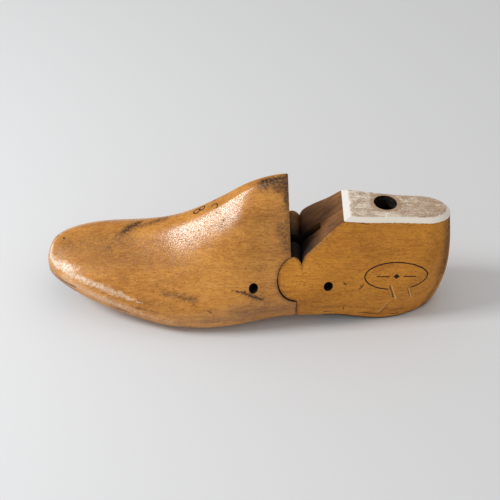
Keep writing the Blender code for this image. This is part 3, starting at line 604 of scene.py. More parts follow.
# Mask of a stroke: 1 within radius of the line from From to To, fading over softness of the radius.
# The nearest point is From + (To - From) * clamp(((P - From) . (To - From)) / |To - From|^2).
def makeStrokeMask():
    group, get, put = newGroup("strokeMask", {"Vector": None, "From": None, "To": None, "Radius": 0.001,
                                              "Softness": 0.5, "Taper": 0.0}, {"Mask": 0.0})
    run = get["To"] - get["From"]
    away = get["Vector"] - get["From"]
    along = maths("DIVIDE", away.dot(run), run.dot(run), clamp=True)
    distance = maths("DISTANCE", away, run.scaled(along))
    reach = get["Radius"] * (1.0 - get["Taper"] * (1.0 - along))
    feed(put["Mask"], distance.mask(reach, reach * (1.0 - get["Softness"])))
    return group


# Shares of half the line's width between which a ring fades, and of its radius where it is near.
ringFade, ringNear = (1.4, 0.7), (1.3, 0.95)


# Mask of a stamped ring: Across and Up are unit directions divided by the ring's radii. With u and v the
# place in them and r = sqrt(u^2 + v^2), the way to the line is |r - 1| r / |u Across + v Up|.
# Width is half the line's width.
def makeRingMask():
    group, get, put = newGroup("ringMask", {
        "Vector": None, "Centre": None, "Across": None, "Up": None, "Width": 0.0005}, {
        "Mask": 0.0, "Across place": 0.0, "Up place": 0.0})
    away = get["Vector"] - get["Centre"]
    u, v = away.dot(get["Across"]), away.dot(get["Up"])
    radius = maths("SQRT", u * u + v * v)
    steep = maths("LENGTH", get["Across"].scaled(u) + get["Up"].scaled(v))
    off = maths("ABSOLUTE", radius - 1.0) * radius / steep
    feed(put["Mask"], off.mask(*(get["Width"] * share for share in ringFade)))
    feed(put["Across place"], u)
    feed(put["Up place"], v)
    return group


# Cells of a pattern: the way to the middle of each, and one of its three random numbers.
def cellsOf(place, scale, channel):
    cells = addNode(place.tree, "ShaderNodeTexVoronoi", {"Vector": place * scale, "Scale": 1.0}, feature="F1")
    return cells["Distance"], addNode(place.tree, "ShaderNodeSeparateColor", {0: cells["Color"]})[channel]


# Noise patterns of the beech, in millimetres: scale, detail, roughness, distortion.
# Each mask is from, to, and each share says how much of it counts.
beech = {"broad": ((0.022, 0.06, 0.06), 3.0, 0.55, 0.4), "cloudy": ((0.16, 0.3, 0.3), 4.0, 0.6),
         "lines": ((0.035, 0.9, 0.9), 4.0, 0.62, 0.5), "fine": ((0.3, 1.5, 1.5), 4.0, 0.7),
         "broadTone": ((0.34, 0.66), 0.38), "cloudyTone": ((0.36, 0.64), 0.30),
         "linesTone": ((0.42, 0.62), 0.34), "fineTone": ((0.42, 0.60), 0.42), "toneLess": 0.22,
         "wave": ((0.012, 0.03, 0.03), 2.0), "waveHeight": 26.0, "pith": (0, 60, -75), "ringsPerMm": 0.115,
         "ringStart": (0.72, 0.98), "ringEnd": (1.0, 0.99), "ringBreak": (0.42, 0.62), "ringShare": 0.4,
         "dashCells": (0.22, 0.8, 0.8), "dash": (0.26, 0.1), "dashShare": 0.7,
         "dotCells": (0.5, 0.9, 0.9), "dot": (0.34, 0.14), "dotChance": (0.66, 0.9), "fleckShare": 0.7,
         "fineRelief": 0.35, "fleckRelief": 0.8}


# Beech along X: broad honey patches, fine lines along the grain, short brown ray flecks and pores.
# Vector is the place in millimetres. Relief is the height that the bump reads.
def makeBeechGrain():
    group, get, put = newGroup("beechGrain", {
        "Vector": None, "Light": (0.5, 0.25, 0.07, 1), "Deep": (0.35, 0.15, 0.03, 1),
        "Fleck": (0.12, 0.045, 0.012, 1), "Fleck amount": 0.5}, {
        "Colour": (0, 0, 0, 1), "Relief": 0.0, "Flecks": 0.0})
    place = get["Vector"]
    noises = {key: place.noise(*beech[key]) for key in ("broad", "cloudy", "lines", "fine")}

    def toneOf(key):
        mask, share = beech[key + "Tone"]
        return noises[key].mask(*mask) * share

    tone = toneOf("broad") + toneOf("cloudy") - beech["toneLess"] + toneOf("lines") + toneOf("fine")
    colour = mix(tone, get["Light"], get["Deep"])
    # Growth lines: thin darker lines where the wavy distance from a far pith passes a whole number.
    wave = place.noise(*beech["wave"]) * beech["waveHeight"]
    bent = place + addNode(group, "ShaderNodeCombineXYZ", {"Z": wave})["Vector"]
    pith = maths("LENGTH", (bent - beech["pith"]) * (0, 1, 1))
    ring = maths("FRACT", pith * beech["ringsPerMm"])
    ringLine = ring.mask(*beech["ringStart"]) * ring.mask(*beech["ringEnd"])
    ringLine = ringLine * noises["broad"].mask(*beech["ringBreak"])
    colour = mix(ringLine * beech["ringShare"], colour, get["Deep"])
    # Ray flecks: stretched cells, of which some hold a short dash and some a dot.
    away, chance = cellsOf(place, beech["dashCells"], "Red")
    chosen = maths("GREATER_THAN", chance, 1.0 - get["Fleck amount"])
    dash = away.mask(*beech["dash"]) * chosen
    away, chance = cellsOf(place, beech["dotCells"], "Green")
    dot = away.mask(*beech["dot"]) * chance.mask(*beech["dotChance"])
    flecks = maths("MAXIMUM", dash * beech["dashShare"], dot)
    feed(put["Colour"], mix(flecks * beech["fleckShare"], colour, get["Fleck"]))
    feed(put["Relief"], noises["fine"] * beech["fineRelief"] - flecks * beech["fleckRelief"])
    feed(put["Flecks"], flecks)
    return group


ageing = {"cloud": (0.22, 4.0, 0.6), "spots": (1.4, 4.0, 0.65), "dark": (0.35, 0.7), "rust": (0.52, 0.68),
          "roughness": 0.34, "rougher": 0.4, "metallic": 0.9, "pits": 0.0002}


# Dark aged steel: blotches of brown between greys, with fine pits.
def makeOldSteel():
    group, get, put = newGroup("oldSteel", {
        "Vector": None, "Bright": (0.3, 0.29, 0.28, 1), "Dark": (0.06, 0.05, 0.045, 1),
        "Rust": (0.16, 0.07, 0.03, 1), "Rust amount": 0.3}, {
        "Colour": (0, 0, 0, 1), "Roughness": 0.0, "Relief": 0.0})
    cloud, spots = get["Vector"].noise(*ageing["cloud"]), get["Vector"].noise(*ageing["spots"])
    colour = mix(cloud.mask(*ageing["dark"]), get["Bright"], get["Dark"])
    rust = spots.mask(*ageing["rust"]) * get["Rust amount"]
    feed(put["Colour"], mix(rust, colour, get["Rust"]))
    feed(put["Roughness"], ageing["roughness"] + maths("MAXIMUM", cloud, spots) * ageing["rougher"])
    feed(put["Relief"], spots)
    return group


print("finishes: building the shared groups")
groups = {"stroke": makeStrokeMask(), "ring": makeRingMask(), "beech": makeBeechGrain(),
          "steel": makeOldSteel()}


# A new material, and the place on its piece in metres and in millimetres.
def newMaterial(name):
    made = bpy.data.materials.new(name)
    made.use_nodes = True
    metres = addNode(made.node_tree, "ShaderNodeTexCoord")["Object"]
    return made, metres, metres * (1000, 1000, 1000)


# Feeds a material's Principled shader. Bump is the height that it reads, its strength and its depth.
def finish(made, colour, roughness, bump=None, levels=None):
    shader = made.node_tree.nodes["Principled BSDF"]
    for key, value in {"Base Color": colour, "Roughness": roughness, **(levels or {})}.items():
        feed(shader.inputs[key], value)
    if bump:
        inputs = dict(zip(("Height", "Strength", "Distance"), bump))
        feed(shader.inputs["Normal"], addNode(made.node_tree, "ShaderNodeBump", inputs)["Normal"])
    return made


# The photograph's camera: it looks along +Y, down by the elevation, from this distance. A pixel of the
# picture is 0.69 mm at the last.
view = {"size": 500, "lens": 84.49, "sensor": 36.0, "elevation": 40.0, "distance": 0.812,
        "target": (0.0021, 0.0, 0.0403), "clip": (0.01, 50), "pixel": 0.00069}
tilt = math.radians(view["elevation"])
lookAlong = Vector((0, math.cos(tilt), -math.sin(tilt)))
eye = Vector(view["target"]) - lookAlong * view["distance"]
focal = view["lens"] / view["sensor"] * view["size"]
surface = BVHTree.FromPolygons([vertex.co for vertex in wholeLast.vertices],
                               [tuple(face.vertices) for face in wholeLast.polygons])


# Place and normal of the last's surface at a pixel of the picture: the view ray's first hit.
def seenAt(x, y):
    across, up = Vector((1, 0, 0)), Vector((1, 0, 0)).cross(lookAlong)
    half = view["size"] / 2
    ray = lookAlong + across * ((x - half) / focal) - up * ((y - half) / focal)
    return surface.ray_cast(eye, ray.normalized())[:2]


# Varnished wood. Colours are those of the wood itself, in linear light, except worn: a near-white painted
# highlight on the toe's roll, over varnish that is rubbed thin there.
varnish = {"fleck": (0.10, 0.032, 0.008), "fleckAmount": 0.45, "dirt": (0.016, 0.009, 0.006),
           "stain": (0.12, 0.048, 0.013), "pale": (0.72, 0.46, 0.19), "worn": (1.0, 0.86, 0.70),
           "sole": (0.20, 0.072, 0.022), "peel": 0.55, "peelDepth": 0.0004, "dullWaist": 0.25, "ior": 1.5,
           "waver": (0.006, 0.006, 0.006), "fineWaver": (0.12, 0.12, 0.12), "waverNoise": (0.45, 4.0, 0.6),
           "patches": ((0.6, 5.0, 0.75), (0.40, 0.56), 0.4), "wearAndGlintGrains": ((0.9, 4.0, 0.7), (0.40, 0.58), 0.35),
           "mottle": ((0.05, 0.09, 0.09), 3.0, 0.6), "mottled": (0.26, 0.6), "speckShare": 0.8,
           "speck": ((0.55, 0.95, 0.95), 5.0, 0.75), "specked": (0.56, 0.70),
           "rough": (0.35, 4.0, 0.65), "edgeDark": (0.25, 0.62), "edgeShare": 0.75,
           "soleDark": (0.35, 0.7), "soleShare": 0.3, "dull": (1.1, 4.0, 0.7), "dulled": (0.46, 0.62),
           "dullShare": 0.25, "stainDull": 0.18, "waistAlong": (1, 0, -0.2), "waist": (-15, 20),
           "peelNoise": (0.8, 4.0, 0.6), "relief": {"grain": 0.2, "peel": 0.5, "specks": 0.3}}
forepartTone = {"light": (0.69, 0.305, 0.058), "deep": (0.42, 0.158, 0.024), "gloss": 0.6, "roughness": 0.17}
heelTone = {"light": (0.665, 0.274, 0.032), "deep": (0.42, 0.151, 0.0175), "gloss": 0.28, "roughness": 0.32}
# Marks on the wood, by the pixels of the picture that they lie at: from x, y to x, y, half width,
# strength, taper (0 if left out) and softness (1 if left out).
markDefaults = (0.0, 1.0)
forepartMarks = {
    "stainsAndShade": [(118, 236, 137, 224, 13, 0.9), (128, 229, 166, 218, 9, 0.8, 0.4),
        (106, 250, 122, 234, 14, 0.6), (163, 293.5, 195, 300, 7.5, 0.66, 0.3),
        (140, 300, 172, 308, 10, 0.34, 0.3), (281, 226, 288, 246, 11, 0.85), (262, 184, 288, 182, 12, 1),
        (233, 290, 262, 299, 5, 1, 0.6), (236, 314, 288, 309, 14, 0.55), (286, 182, 287.5, 250, 7, 0.85),
        (66, 245, 122, 238, 27, 0.52), (205, 321, 262, 317, 6, 0.5), (112, 307, 190, 327, 4.5, 0.42),
        (84, 256, 140, 258, 24, 0.3), (150, 262, 262, 268, 9, 0.22, 0.3), (222, 225, 284, 215, 16, 0.28)],
    "smudges": [(122, 232, 128, 228, 5, 0.8), (129, 226.5, 139, 222.5, 5.4, 0.85),
        (264, 181.5, 287, 178, 8, 1), (278, 188, 287, 184, 7, 0.9),
        (286.6, 184, 287.6, 206, 4, 0.8, 0.3), (236, 290.4, 249, 295, 2.7, 1, 0.4, 0.9),
        (177, 296, 190, 299, 2.4, 0.6, 0.2), (132, 306.5, 158, 313.5, 2.8, 0.55, 0.3),
        # These two, with the nicks from x 61.5 and 114, draw a thin dark line along the toe's lower edge.
        (49.6, 265.4, 54, 272.2, 1.6, 1, 0, 0.6), (54, 272.2, 61.5, 279.3, 1.6, 1, 0, 0.6)],
    "nicksAndShadows": [(63.4, 238, 64.6, 238.4, 1.5, 0.85, 0, 0.7), (249, 295.4, 261, 299.4, 1.5, 0.8, 0.3, 0.9),
        (260.4, 300, 260.7, 313, 0.6, 0.7, 0.3, 0.5), (215.6, 211.8, 217.6, 213.4, 0.9, 0.8, 0, 0.6),
        (208, 311, 211, 313, 1.1, 0.7, 0.3, 0.6), (214.6, 200.4, 216.2, 199.6, 1, 0.85, 0, 0.6),
        (61.5, 279.3, 75, 286.9, 1.5, 1, 0.2, 0.6), (114, 307, 129, 312.4, 0.9, 0.8, 0.2, 0.6)],
    # The second of these is a painted highlight: a pale arc along the lower lip of the ball.
    "scratchesAndGlints": [(128, 285, 227, 286.4, 0.7, 0.4, 0.5), (186, 300.5, 230, 297.5, 0.8, 0.35, 0.6),
        (243.4, 232, 243.8, 239, 0.5, 0.45, 0, 0.8)],
    # The worn strokes paint a near-white highlight along the toe's roll and round its tip, over varnish
    # rubbed thin there.
    "worn": [(52, 247, 50.8, 256, 4.4, 1), (50.8, 256, 57, 265.5, 5.2, 1),
        (61.5, 233.6, 52, 247, 1.8, 0.8, 0.3), (57.5, 265, 69, 273, 4.8, 0.95),
        (69, 273, 88, 282, 4.8, 0.85), (88, 282, 106, 289, 5, 0.7), (142, 303, 106, 289, 6.2, 0.55, 0.8),
        (64, 276, 100, 298, 6.5, 0.35), (172, 322, 100, 298, 6.5, 0.42, 0.7)],
}
heelMarks = {
    "stainsAndShade": [(369, 248.5, 438, 250, 1.6, 0.55, 0.5), (352, 254, 400, 255, 1.2, 0.35, 0.4),
        # The three strong marks from x 424 to 449.5 are painted shade on the back of the heel, which turns
        # away from the lamp.
        (300, 303, 322, 302, 2.5, 0.4, 0.4), (442, 272, 449, 222, 15, 1), (444, 262, 449.5, 224, 7, 1),
        (424, 303, 442, 272, 9, 0.7), (302, 262, 303, 278, 2, 0.4, 0.2),
        (330, 300, 372, 300.5, 1.2, 0.35, 0.5), (312, 306.5, 404, 308.5, 3.6, 0.5, 0.3)],
    "smudges": [],
    "nicksAndShadows": [(301.9, 266, 302, 270, 0.5, 0.6, 0.2, 0.7), (344, 283, 345.8, 284.8, 1, 0.9, 0, 0.6),
        (359.6, 289, 363.4, 285, 0.9, 0.9, 0.2, 0.6), (360.2, 285.4, 361.8, 287, 0.7, 0.8, 0, 0.6),
        (343.4, 306.4, 343.6, 309.6, 0.6, 0.75, 0.3, 0.6),
        (362, 223.6, 368.5, 224.2, 0.6, 0.8, 0.2, 0.6), (404, 224.4, 408, 224.2, 0.5, 0.6, 0.2, 0.6),
        # The ones from x 389.6 and 407.4 are painted shadows beside two lifted slivers, whose pale faces are
        # among the scratches.
        (346, 222.6, 352, 223.2, 0.45, 0.5, 0.2, 0.6), (389.6, 285.6, 393.4, 297, 1.1, 0.9, 0.4, 0.7),
        (407.4, 288.8, 409.6, 296, 0.8, 0.75, 0.4, 0.7),
        (299.5, 304.8, 306.8, 309.4, 0.55, 0.55, 0.4, 0.7),
        (298, 300.5, 308, 301.5, 0.6, 0.45, 0.2, 0.8), (389.4, 302.6, 380, 312.6, 0.7, 0.65, 0.3, 0.7),
        (364, 296.4, 368, 298, 0.5, 0.4, 0.3, 0.7), (436, 242, 444, 241.2, 0.5, 0.45, 0.2, 0.7),
        # These two draw a thin dark line along the heel's lower edge.
        (324, 311.5, 370, 313, 1.1, 0.85, 0.2, 0.6), (370, 313, 398, 313, 1.1, 0.85, 0.2, 0.6)],
    "scratchesAndGlints": [(391.6, 285.6, 395.6, 298.6, 1.1, 0.9, 0.4, 0.7),
        (408.8, 288, 411, 297, 0.9, 0.8, 0.4, 0.7), (388, 301.6, 378.6, 311.8, 0.7, 0.7, 0.3, 0.7),
        (303.2, 267, 303.3, 271, 0.5, 0.35, 0.3, 0.8), (384, 246, 391, 238.5, 0.4, 0.4, 0.2, 0.8),
        (362.5, 298, 370.5, 295.6, 0.4, 0.4, 0.3, 0.8), (331, 232.6, 311.5, 251.4, 0.9, 0.9, 0.2, 0.8)],
    "worn": [],
}


# Lays marks of one kind over a colour, and gives their mask too. Each is a stroke between two places on
# the surface, its edge made uneven by a wavering of the place itself.
def addMarks(colour, marks, wavering, markColour, broken=None):
    total = None
    for mark in marks:
        *ends, halfWidth, strength, taper, softness = (*mark, *markDefaults[len(mark) - 6:])
        a, b = seenAt(*ends[:2])[0], seenAt(*ends[2:])[0]
        if a is None or b is None:
            print("marks: nothing is seen at", ends)
            continue
        stroke = useGroup("stroke", {
            "Vector": wavering, "From": a, "To": b, "Radius": halfWidth * view["pixel"],
            "Softness": softness, "Taper": taper})["Mask"] * strength
        total = stroke if total is None else maths("MAXIMUM", total, stroke)
    if broken:
        total = total * broken
    return mix(total, colour, markColour), total


# What breaks up a mark: least + (1 - least) * mask of a noise.
def brokenUp(place, noise, mask, least):
    return least + place.noise(*noise).mask(*mask) * (1 - least)


# A mask that keepWear leaves on the points of a piece.
def wear(tree, name):
    return addNode(tree, "ShaderNodeAttribute", attribute_name=name)["Fac"]


# Varnished beech with its marks: grain, stains, dirt, pale scratches, painted shade and highlights, and worn,
# darkened edges.
# The stamp and the coating go over the colour.
def varnishedBeech(name, tone, marks, shift, stamp, coating=None):
    made, metres, place = newMaterial(name)
    moved = place + shift
    grain = useGroup("beech", {"Vector": moved, "Light": tone["light"], "Deep": tone["deep"],
                               "Fleck": varnish["fleck"], "Fleck amount": varnish["fleckAmount"]})
    waver = place.noise(*varnish["waverNoise"], output="Color")
    offset = (waver - (0.5, 0.5, 0.5)) * varnish["waver"]
    fineOffset = offset * varnish["fineWaver"]
    uneven, nearlyEven = metres + offset, metres + fineOffset
    patchy = brokenUp(place, *varnish["patches"])
    colour, stainsAndShade = addMarks(grain["Colour"], marks["stainsAndShade"], uneven, varnish["stain"], patchy)
    if marks["smudges"]:
        colour = addMarks(colour, marks["smudges"], uneven, varnish["dirt"], patchy)[0]
    colour, nicksAndShadows = addMarks(colour, marks["nicksAndShadows"], nearlyEven, varnish["dirt"])
    colour = addMarks(colour, marks["scratchesAndGlints"], nearlyEven, varnish["pale"])[0]
    # Near-white painted highlight along the toe's roll, in grains, over varnish that is rubbed thin there.
    if marks["worn"]:
        wearAndGlintGrains = brokenUp(place, *varnish["wearAndGlintGrains"])
        colour = addMarks(colour, marks["worn"], uneven, varnish["worn"], wearAndGlintGrains)[0]
    # Specks of dirt in the open pores, thicker where the mottle is.
    mottle, speck = moved.noise(*varnish["mottle"]), moved.noise(*varnish["speck"])
    specks = speck.mask(*varnish["specked"]) * mottle.mask(*varnish["mottled"])
    colour = mix(specks * varnish["speckShare"], colour, varnish["fleck"])
    # Edges of the joint and the V are dark with handling; the sole's edge is a redder brown.
    edge, rough = wear(made.node_tree, "edgeWear"), place.noise(*varnish["rough"])
    colour = mix(edge * rough.mask(*varnish["edgeDark"]) * varnish["edgeShare"], colour, varnish["stain"])
    soleEdge = wear(made.node_tree, "soleWear") * rough.mask(*varnish["soleDark"]) * varnish["soleShare"]
    colour = mix(soleEdge, colour, varnish["sole"])
    colour = stamp(colour, nearlyEven, place)
    dull = place.noise(*varnish["dull"]).mask(*varnish["dulled"]) * varnish["dullShare"]
    roughness = tone["roughness"] + dull
    roughness = roughness + maths("MAXIMUM", specks, stainsAndShade) * varnish["stainDull"]
    # Behind the waist the varnish is duller: 0 at the ball and 1 at the joint.
    roughness = roughness + place.dot(varnish["waistAlong"]).mask(*varnish["waist"]) * varnish["dullWaist"]
    peel, shares = place.noise(*varnish["peelNoise"]), varnish["relief"]
    relief = grain["Relief"] * shares["grain"] + peel * shares["peel"] - (specks + nicksAndShadows) * shares["specks"]
    if coating:
        colour, roughness, relief = coating(place, colour, roughness, relief)
    return finish(made, colour, roughness, (relief, varnish["peel"], varnish["peelDepth"]),
                  {"IOR": varnish["ior"], "Specular IOR Level": tone["gloss"]})


# Ink figure on the ridge: two loops of a size number, and a half worn curl beside it.
figure = {"centre": (199.4, 209.6), "along": (206.0, 206.0), "loop": (0.0021, 0.0017), "lowerLoop": 1.12,
          "apart": 0.0022, "line": 0.00050, "curl": (214.4, 206.6), "curlAlong": (220.0, 203.4),
          "curlLoop": (0.0026, 0.0022), "curlKept": (-0.9, 0.1), "curlShare": 0.85, "share": 0.95,
          "rubbed": (1.1, 4.0, 0.7), "rubbedAt": (0.20, 0.36)}
# Ink oval on the heel's side, with a plain lozenge between two rules in it. Shares are of its radii.
oval = {"centre": (396.5, 276.4), "along": (412.0, 276.4), "radii": (0.0216, 0.0103), "line": 0.00044,
        "lozenge": 0.10, "lozengeSlope": 0.55, "lozengeFade": (1.15, 0.95),
        "rule": {"start": 0.22, "end": 0.62, "half": 0.032}, "ruleFade": (1.5, 0.9), "ruleEnd": (0.02, 0.01),
        "goneBelow": (-0.55, -0.8), "goneAt": 0.15, "goneWide": (0.42, 0.3), "share": 0.97,
        "rubbed": (0.5, 4.0, 0.7), "rubbedAt": (0.22, 0.38)}
ink = (0.004, 0.003, 0.003)


# Frame of a stamp: its middle on the surface, and unit directions along and across a line in the picture.
def stampFrame(centre, along):
    middle, normal = seenAt(*centre)
    across = (seenAt(*along)[0] - middle).normalized()
    up = normal.cross(across).normalized()
    return middle, across, (-up if up.z < 0 else up)


# A ring of ink in such a frame, the place in it, and a mask of all that is near.
def ringOn(vector, middle, across, up, radii, width):
    ring = useGroup("ring", {"Vector": vector, "Centre": middle, "Across": across / radii[0],
                             "Up": up / radii[1], "Width": width})
    reach = max(radii) * ringNear[0]
    near = maths("DISTANCE", vector, middle).mask(reach, reach * ringNear[1])
    return ring["Mask"] * near, ring["Across place"], ring["Up place"], near


# Two loops one above the other, and the curl: 1 where u + v, its place in its ring, is small.
def sizeFigure(colour, vector, place):
    middle, across, up = stampFrame(figure["centre"], figure["along"])
    wornInk = place.noise(*figure["rubbed"]).mask(*figure["rubbedAt"])
    for side, size in ((-1, figure["lowerLoop"]), (1, 1.0)):
        radii = [radius * size for radius in figure["loop"]]
        at = middle + across * (side * figure["apart"])
        loop = ringOn(vector, at, across, up, radii, figure["line"])[0]
        colour = mix(loop * wornInk * figure["share"], colour, ink)
    frameOfCurl = stampFrame(figure["curl"], figure["curlAlong"])
    curl, u, v, _ = ringOn(vector, *frameOfCurl, figure["curlLoop"], figure["line"])
    return mix(curl * (u + v).mask(*figure["curlKept"]) * wornInk * figure["curlShare"], colour, ink)


# Ring, rules and lozenge: the lozenge is where |u| + slope |v| is small.
def plainOval(colour, vector, place):
    ring, u, v, near = ringOn(vector, *stampFrame(oval["centre"], oval["along"]), oval["radii"], oval["line"])
    wide, high = maths("ABSOLUTE", u), maths("ABSOLUTE", v)
    start, end, half = oval["rule"].values()
    outside, inside = oval["ruleEnd"]
    rule = high.mask(*(half * part for part in oval["ruleFade"])) * (
        wide.mask(start - outside, start + inside) * wide.mask(end + outside, end - inside))
    lozenge = wide + high * oval["lozengeSlope"]
    lozenge = lozenge.mask(*(oval["lozenge"] * part for part in oval["lozengeFade"]))
    worn = place.noise(*oval["rubbed"])
    # The ink has gone from the lower right of the oval, between its two nicks.
    gone = v.mask(*oval["goneBelow"]) * maths("ABSOLUTE", u - oval["goneAt"]).mask(*oval["goneWide"])
    inked = maths("MAXIMUM", ring, maths("MAXIMUM", rule, lozenge)) * (1.0 - gone)
    inked = inked * near * worn.mask(*oval["rubbedAt"])
    return mix(inked * oval["share"], colour, ink)


# White paint on the heel's top. It starts at the height edge of level = fall * x + z, and the flat at flat.
paint = {"clean": (0.86, 0.83, 0.78), "old": (0.98, 0.80, 0.60), "bare": (0.33, 0.155, 0.05),
         "dirt": (0.05, 0.024, 0.01), "fall": (0.065, 0, 1), "edge": 82.52, "flat": 85.9, "ring": 4.0,
         "roughness": 0.62, "lines": ((0.09, 0.9, 0.9), 4.0, 0.65, 0.6),
         "patches": ((0.13, 0.22, 0.22), 6.0, 0.72, 0.4), "specks": (1.2, 5.0, 0.8), "grit": (2.0, 4.0, 0.8),
         "waver": (0.5, 3.0), "waverHeight": 0.9, "edgeFade": 0.12, "flatStart": (-0.35, 0.05),
         "backAlong": (1, 0.35, 0), "back": (78, 128), "backDirt": 0.10, "lineDirt": 0.35, "gritDirt": 1.3,
         "rimDirt": 0.3, "bareFrom": (0.40, 0.66), "bareShare": 0.74, "oldFlat": 0.45, "oldBack": (66, 74),
         "oldShare": 0.30, "speckMask": (0.54, 0.62), "speckSlant": 0.12, "speckFlat": 0.68,
         "cornerStart": (-0.9, -0.35), "cornerEnd": (0.25, -0.05), "cornerBreak": (0.42, 0.6),
         "cornerShare": 0.5, "underStart": (-1.1, -0.2), "underBreak": (0.5, 0.62), "underShare": 0.6,
         "thickness": 0.7, "thinner": 0.6}


# Old white paint over the heel's top: thick on the slanted edge, thin and dirty on the flat.
def paintedTop(place, colour, roughness, relief):
    level = place.dot(paint["fall"])
    waver = (place.noise(*paint["waver"]) - 0.5) * paint["waverHeight"]
    painted = (level + waver).mask(paint["edge"] - paint["edgeFade"], paint["edge"] + paint["edgeFade"])

    def levelMask(height, name):
        return level.mask(*(paint[height] + offset for offset in paint[name]))

    flat = levelMask("flat", "flatStart")
    lines, patches, specks = (place.noise(*paint[key]) for key in ("lines", "patches", "specks"))
    backwards = place.dot(paint["backAlong"]).mask(*paint["back"])
    dirty = patches + backwards * paint["backDirt"] + (lines - 0.5) * paint["lineDirt"]
    dirty = dirty + (place.noise(*paint["grit"]) - 0.5) * paint["gritDirt"]
    # A brown ring round the hole: 1 at its rim, 0 at the ring's reach.
    fromHole = maths("LENGTH", (place - (*thimbleHole["at"], 0)) * (1, 1, 0))
    rim = fromHole.mask(thimbleHole["radius"] + paint["ring"], thimbleHole["radius"])
    onFlat = flat * (dirty + rim * paint["rimDirt"]).mask(*paint["bareFrom"])
    coat = mix(flat * paint["oldFlat"], paint["clean"], paint["old"])
    coat = mix(place.dot((1, 0, 0)).mask(*paint["oldBack"]) * paint["oldShare"], coat, paint["old"])
    coat = mix(onFlat * paint["bareShare"], coat, paint["bare"])
    specked = specks.mask(*paint["speckMask"]) * (paint["speckSlant"] + flat * paint["speckFlat"])
    coat = mix(specked, coat, paint["dirt"])
    # A dirty line follows the paint's lower edge and the corner between the slant and the flat.
    corner = levelMask("flat", "cornerStart") * levelMask("flat", "cornerEnd")
    coat = mix(corner * patches.mask(*paint["cornerBreak"]) * paint["cornerShare"], coat, paint["bare"])
    under = levelMask("edge", "underStart") * patches.mask(*paint["underBreak"])
    colour = mix(under * paint["underShare"], colour, varnish["dirt"])
    colour = mix(painted, colour, coat)
    roughness = roughness * (1.0 - painted) + painted * paint["roughness"]
    return colour, roughness, relief + painted * (paint["thickness"] - onFlat * paint["thinner"])


# Sawn wood inside the joint, the V and the kerf. Painted shade deep in the V begins at the upper height and
# is full at the lower one; farLift raises it on the far side.
sawn = {"light": (0.30, 0.122, 0.030), "deep": (0.135, 0.050, 0.012), "footShade": (0.012, 0.005, 0.002),
        "shadeTop": 66.0, "shadeFull": 52.0, "farLift": 0.55, "nearest": -6.0,
        "axes": ((0.7, 0, 0.7), (0, 1, 0), (-0.7, 0, 0.7)), "roughness": 0.72, "bump": (0.3, 0.0004),
        "broad": ((0.05, 0.10, 0.10), 5.0, 0.65), "lines": ((0.07, 1.1, 1.1), 4.0, 0.65),
        "broadShare": 0.6, "deepFrom": (0.40, 0.60), "shadeShare": 0.95}


# Sawn faces: brown and dull, with the saw's fine lines across, and painted dark with shade in the depths.
def sawnBeech():
    made, _, place = newMaterial("sawnBeech")
    axes = [place.dot(axis) for axis in sawn["axes"]]
    turned = addNode(place.tree, "ShaderNodeCombineXYZ", dict(enumerate(axes)))["Vector"]
    broad, lines = turned.noise(*sawn["broad"]), turned.noise(*sawn["lines"])
    tone = broad * sawn["broadShare"] + lines * (1 - sawn["broadShare"])
    colour = mix(tone.mask(*sawn["deepFrom"]), sawn["light"], sawn["deep"])
    # Painted shade at the foot of the V, most on the near side.
    height = place.dot((0, 0, 1)) + maths("MAXIMUM", axes[1], sawn["nearest"]) * sawn["farLift"]
    colour = mix(height.mask(sawn["shadeTop"], sawn["shadeFull"]) * sawn["shadeShare"], colour, sawn["footShade"])
    return finish(made, colour, sawn["roughness"], (lines + broad, *sawn["bump"]))


bored = {"streaks": ((1.2, 0.08, 1.2), 3.0, 0.6), "dark": (0.4, 0.7), "roughness": 0.8, "bump": (0.3, 0.0003),
         "shadeColours": ((0.02, 0.009, 0.004), (0.004, 0.002, 0.001))}


# Inside of a bored hole: painted nearly black, as the shade that falls deep in a hole.
def boredHole():
    made, _, place = newMaterial("boredHole")
    streaks = place.noise(*bored["streaks"])
    colour = mix(streaks.mask(*bored["dark"]), *bored["shadeColours"])
    return finish(made, colour, bored["roughness"], (streaks, *bored["bump"]))


# Steel of each kind: bright, dark, amount of rust and strength of the bump.
steelKinds = {"pin": ((0.26, 0.25, 0.24), (0.09, 0.085, 0.08), 0.4, 0.2),
              "spring": ((0.30, 0.29, 0.28), (0.10, 0.095, 0.09), 0.3, 0.15),
              "thimble": ((0.14, 0.12, 0.10), (0.02, 0.016, 0.013), 0.55, 0.3),
              "plate": ((0.10, 0.092, 0.087), (0.045, 0.04, 0.036), 0.5, 0.3),
              "nail": ((0.34, 0.33, 0.32), (0.11, 0.10, 0.095), 0.35, 0.2)}


# Steel of one kind: the shared ageing with this kind's own greys.
def oldSteel(kind, bright, dark, rust, strength):
    made, _, place = newMaterial("old" + kind.capitalize() + "Steel")
    aged = useGroup("steel", {"Vector": place, "Bright": bright, "Dark": dark, "Rust amount": rust})
    bump = (aged["Relief"], strength, ageing["pits"])
    return finish(made, aged["Colour"], aged["Roughness"], bump, {"Metallic": ageing["metallic"]})


print("finishes: building the materials")
forepartWood = varnishedBeech("varnishedBeechForepart", forepartTone, forepartMarks, (0, 0, 0), sizeFigure)
heelWood = varnishedBeech("varnishedBeechHeel", heelTone, heelMarks, (37, 11, 5), plainOval, paintedTop)
sawnWood, holeWood = sawnBeech(), boredHole()
steels = {kind: oldSteel(kind, *look) for kind, look in steelKinds.items()}
wearReach = {"edge": 1.3, "sole": 2.6}


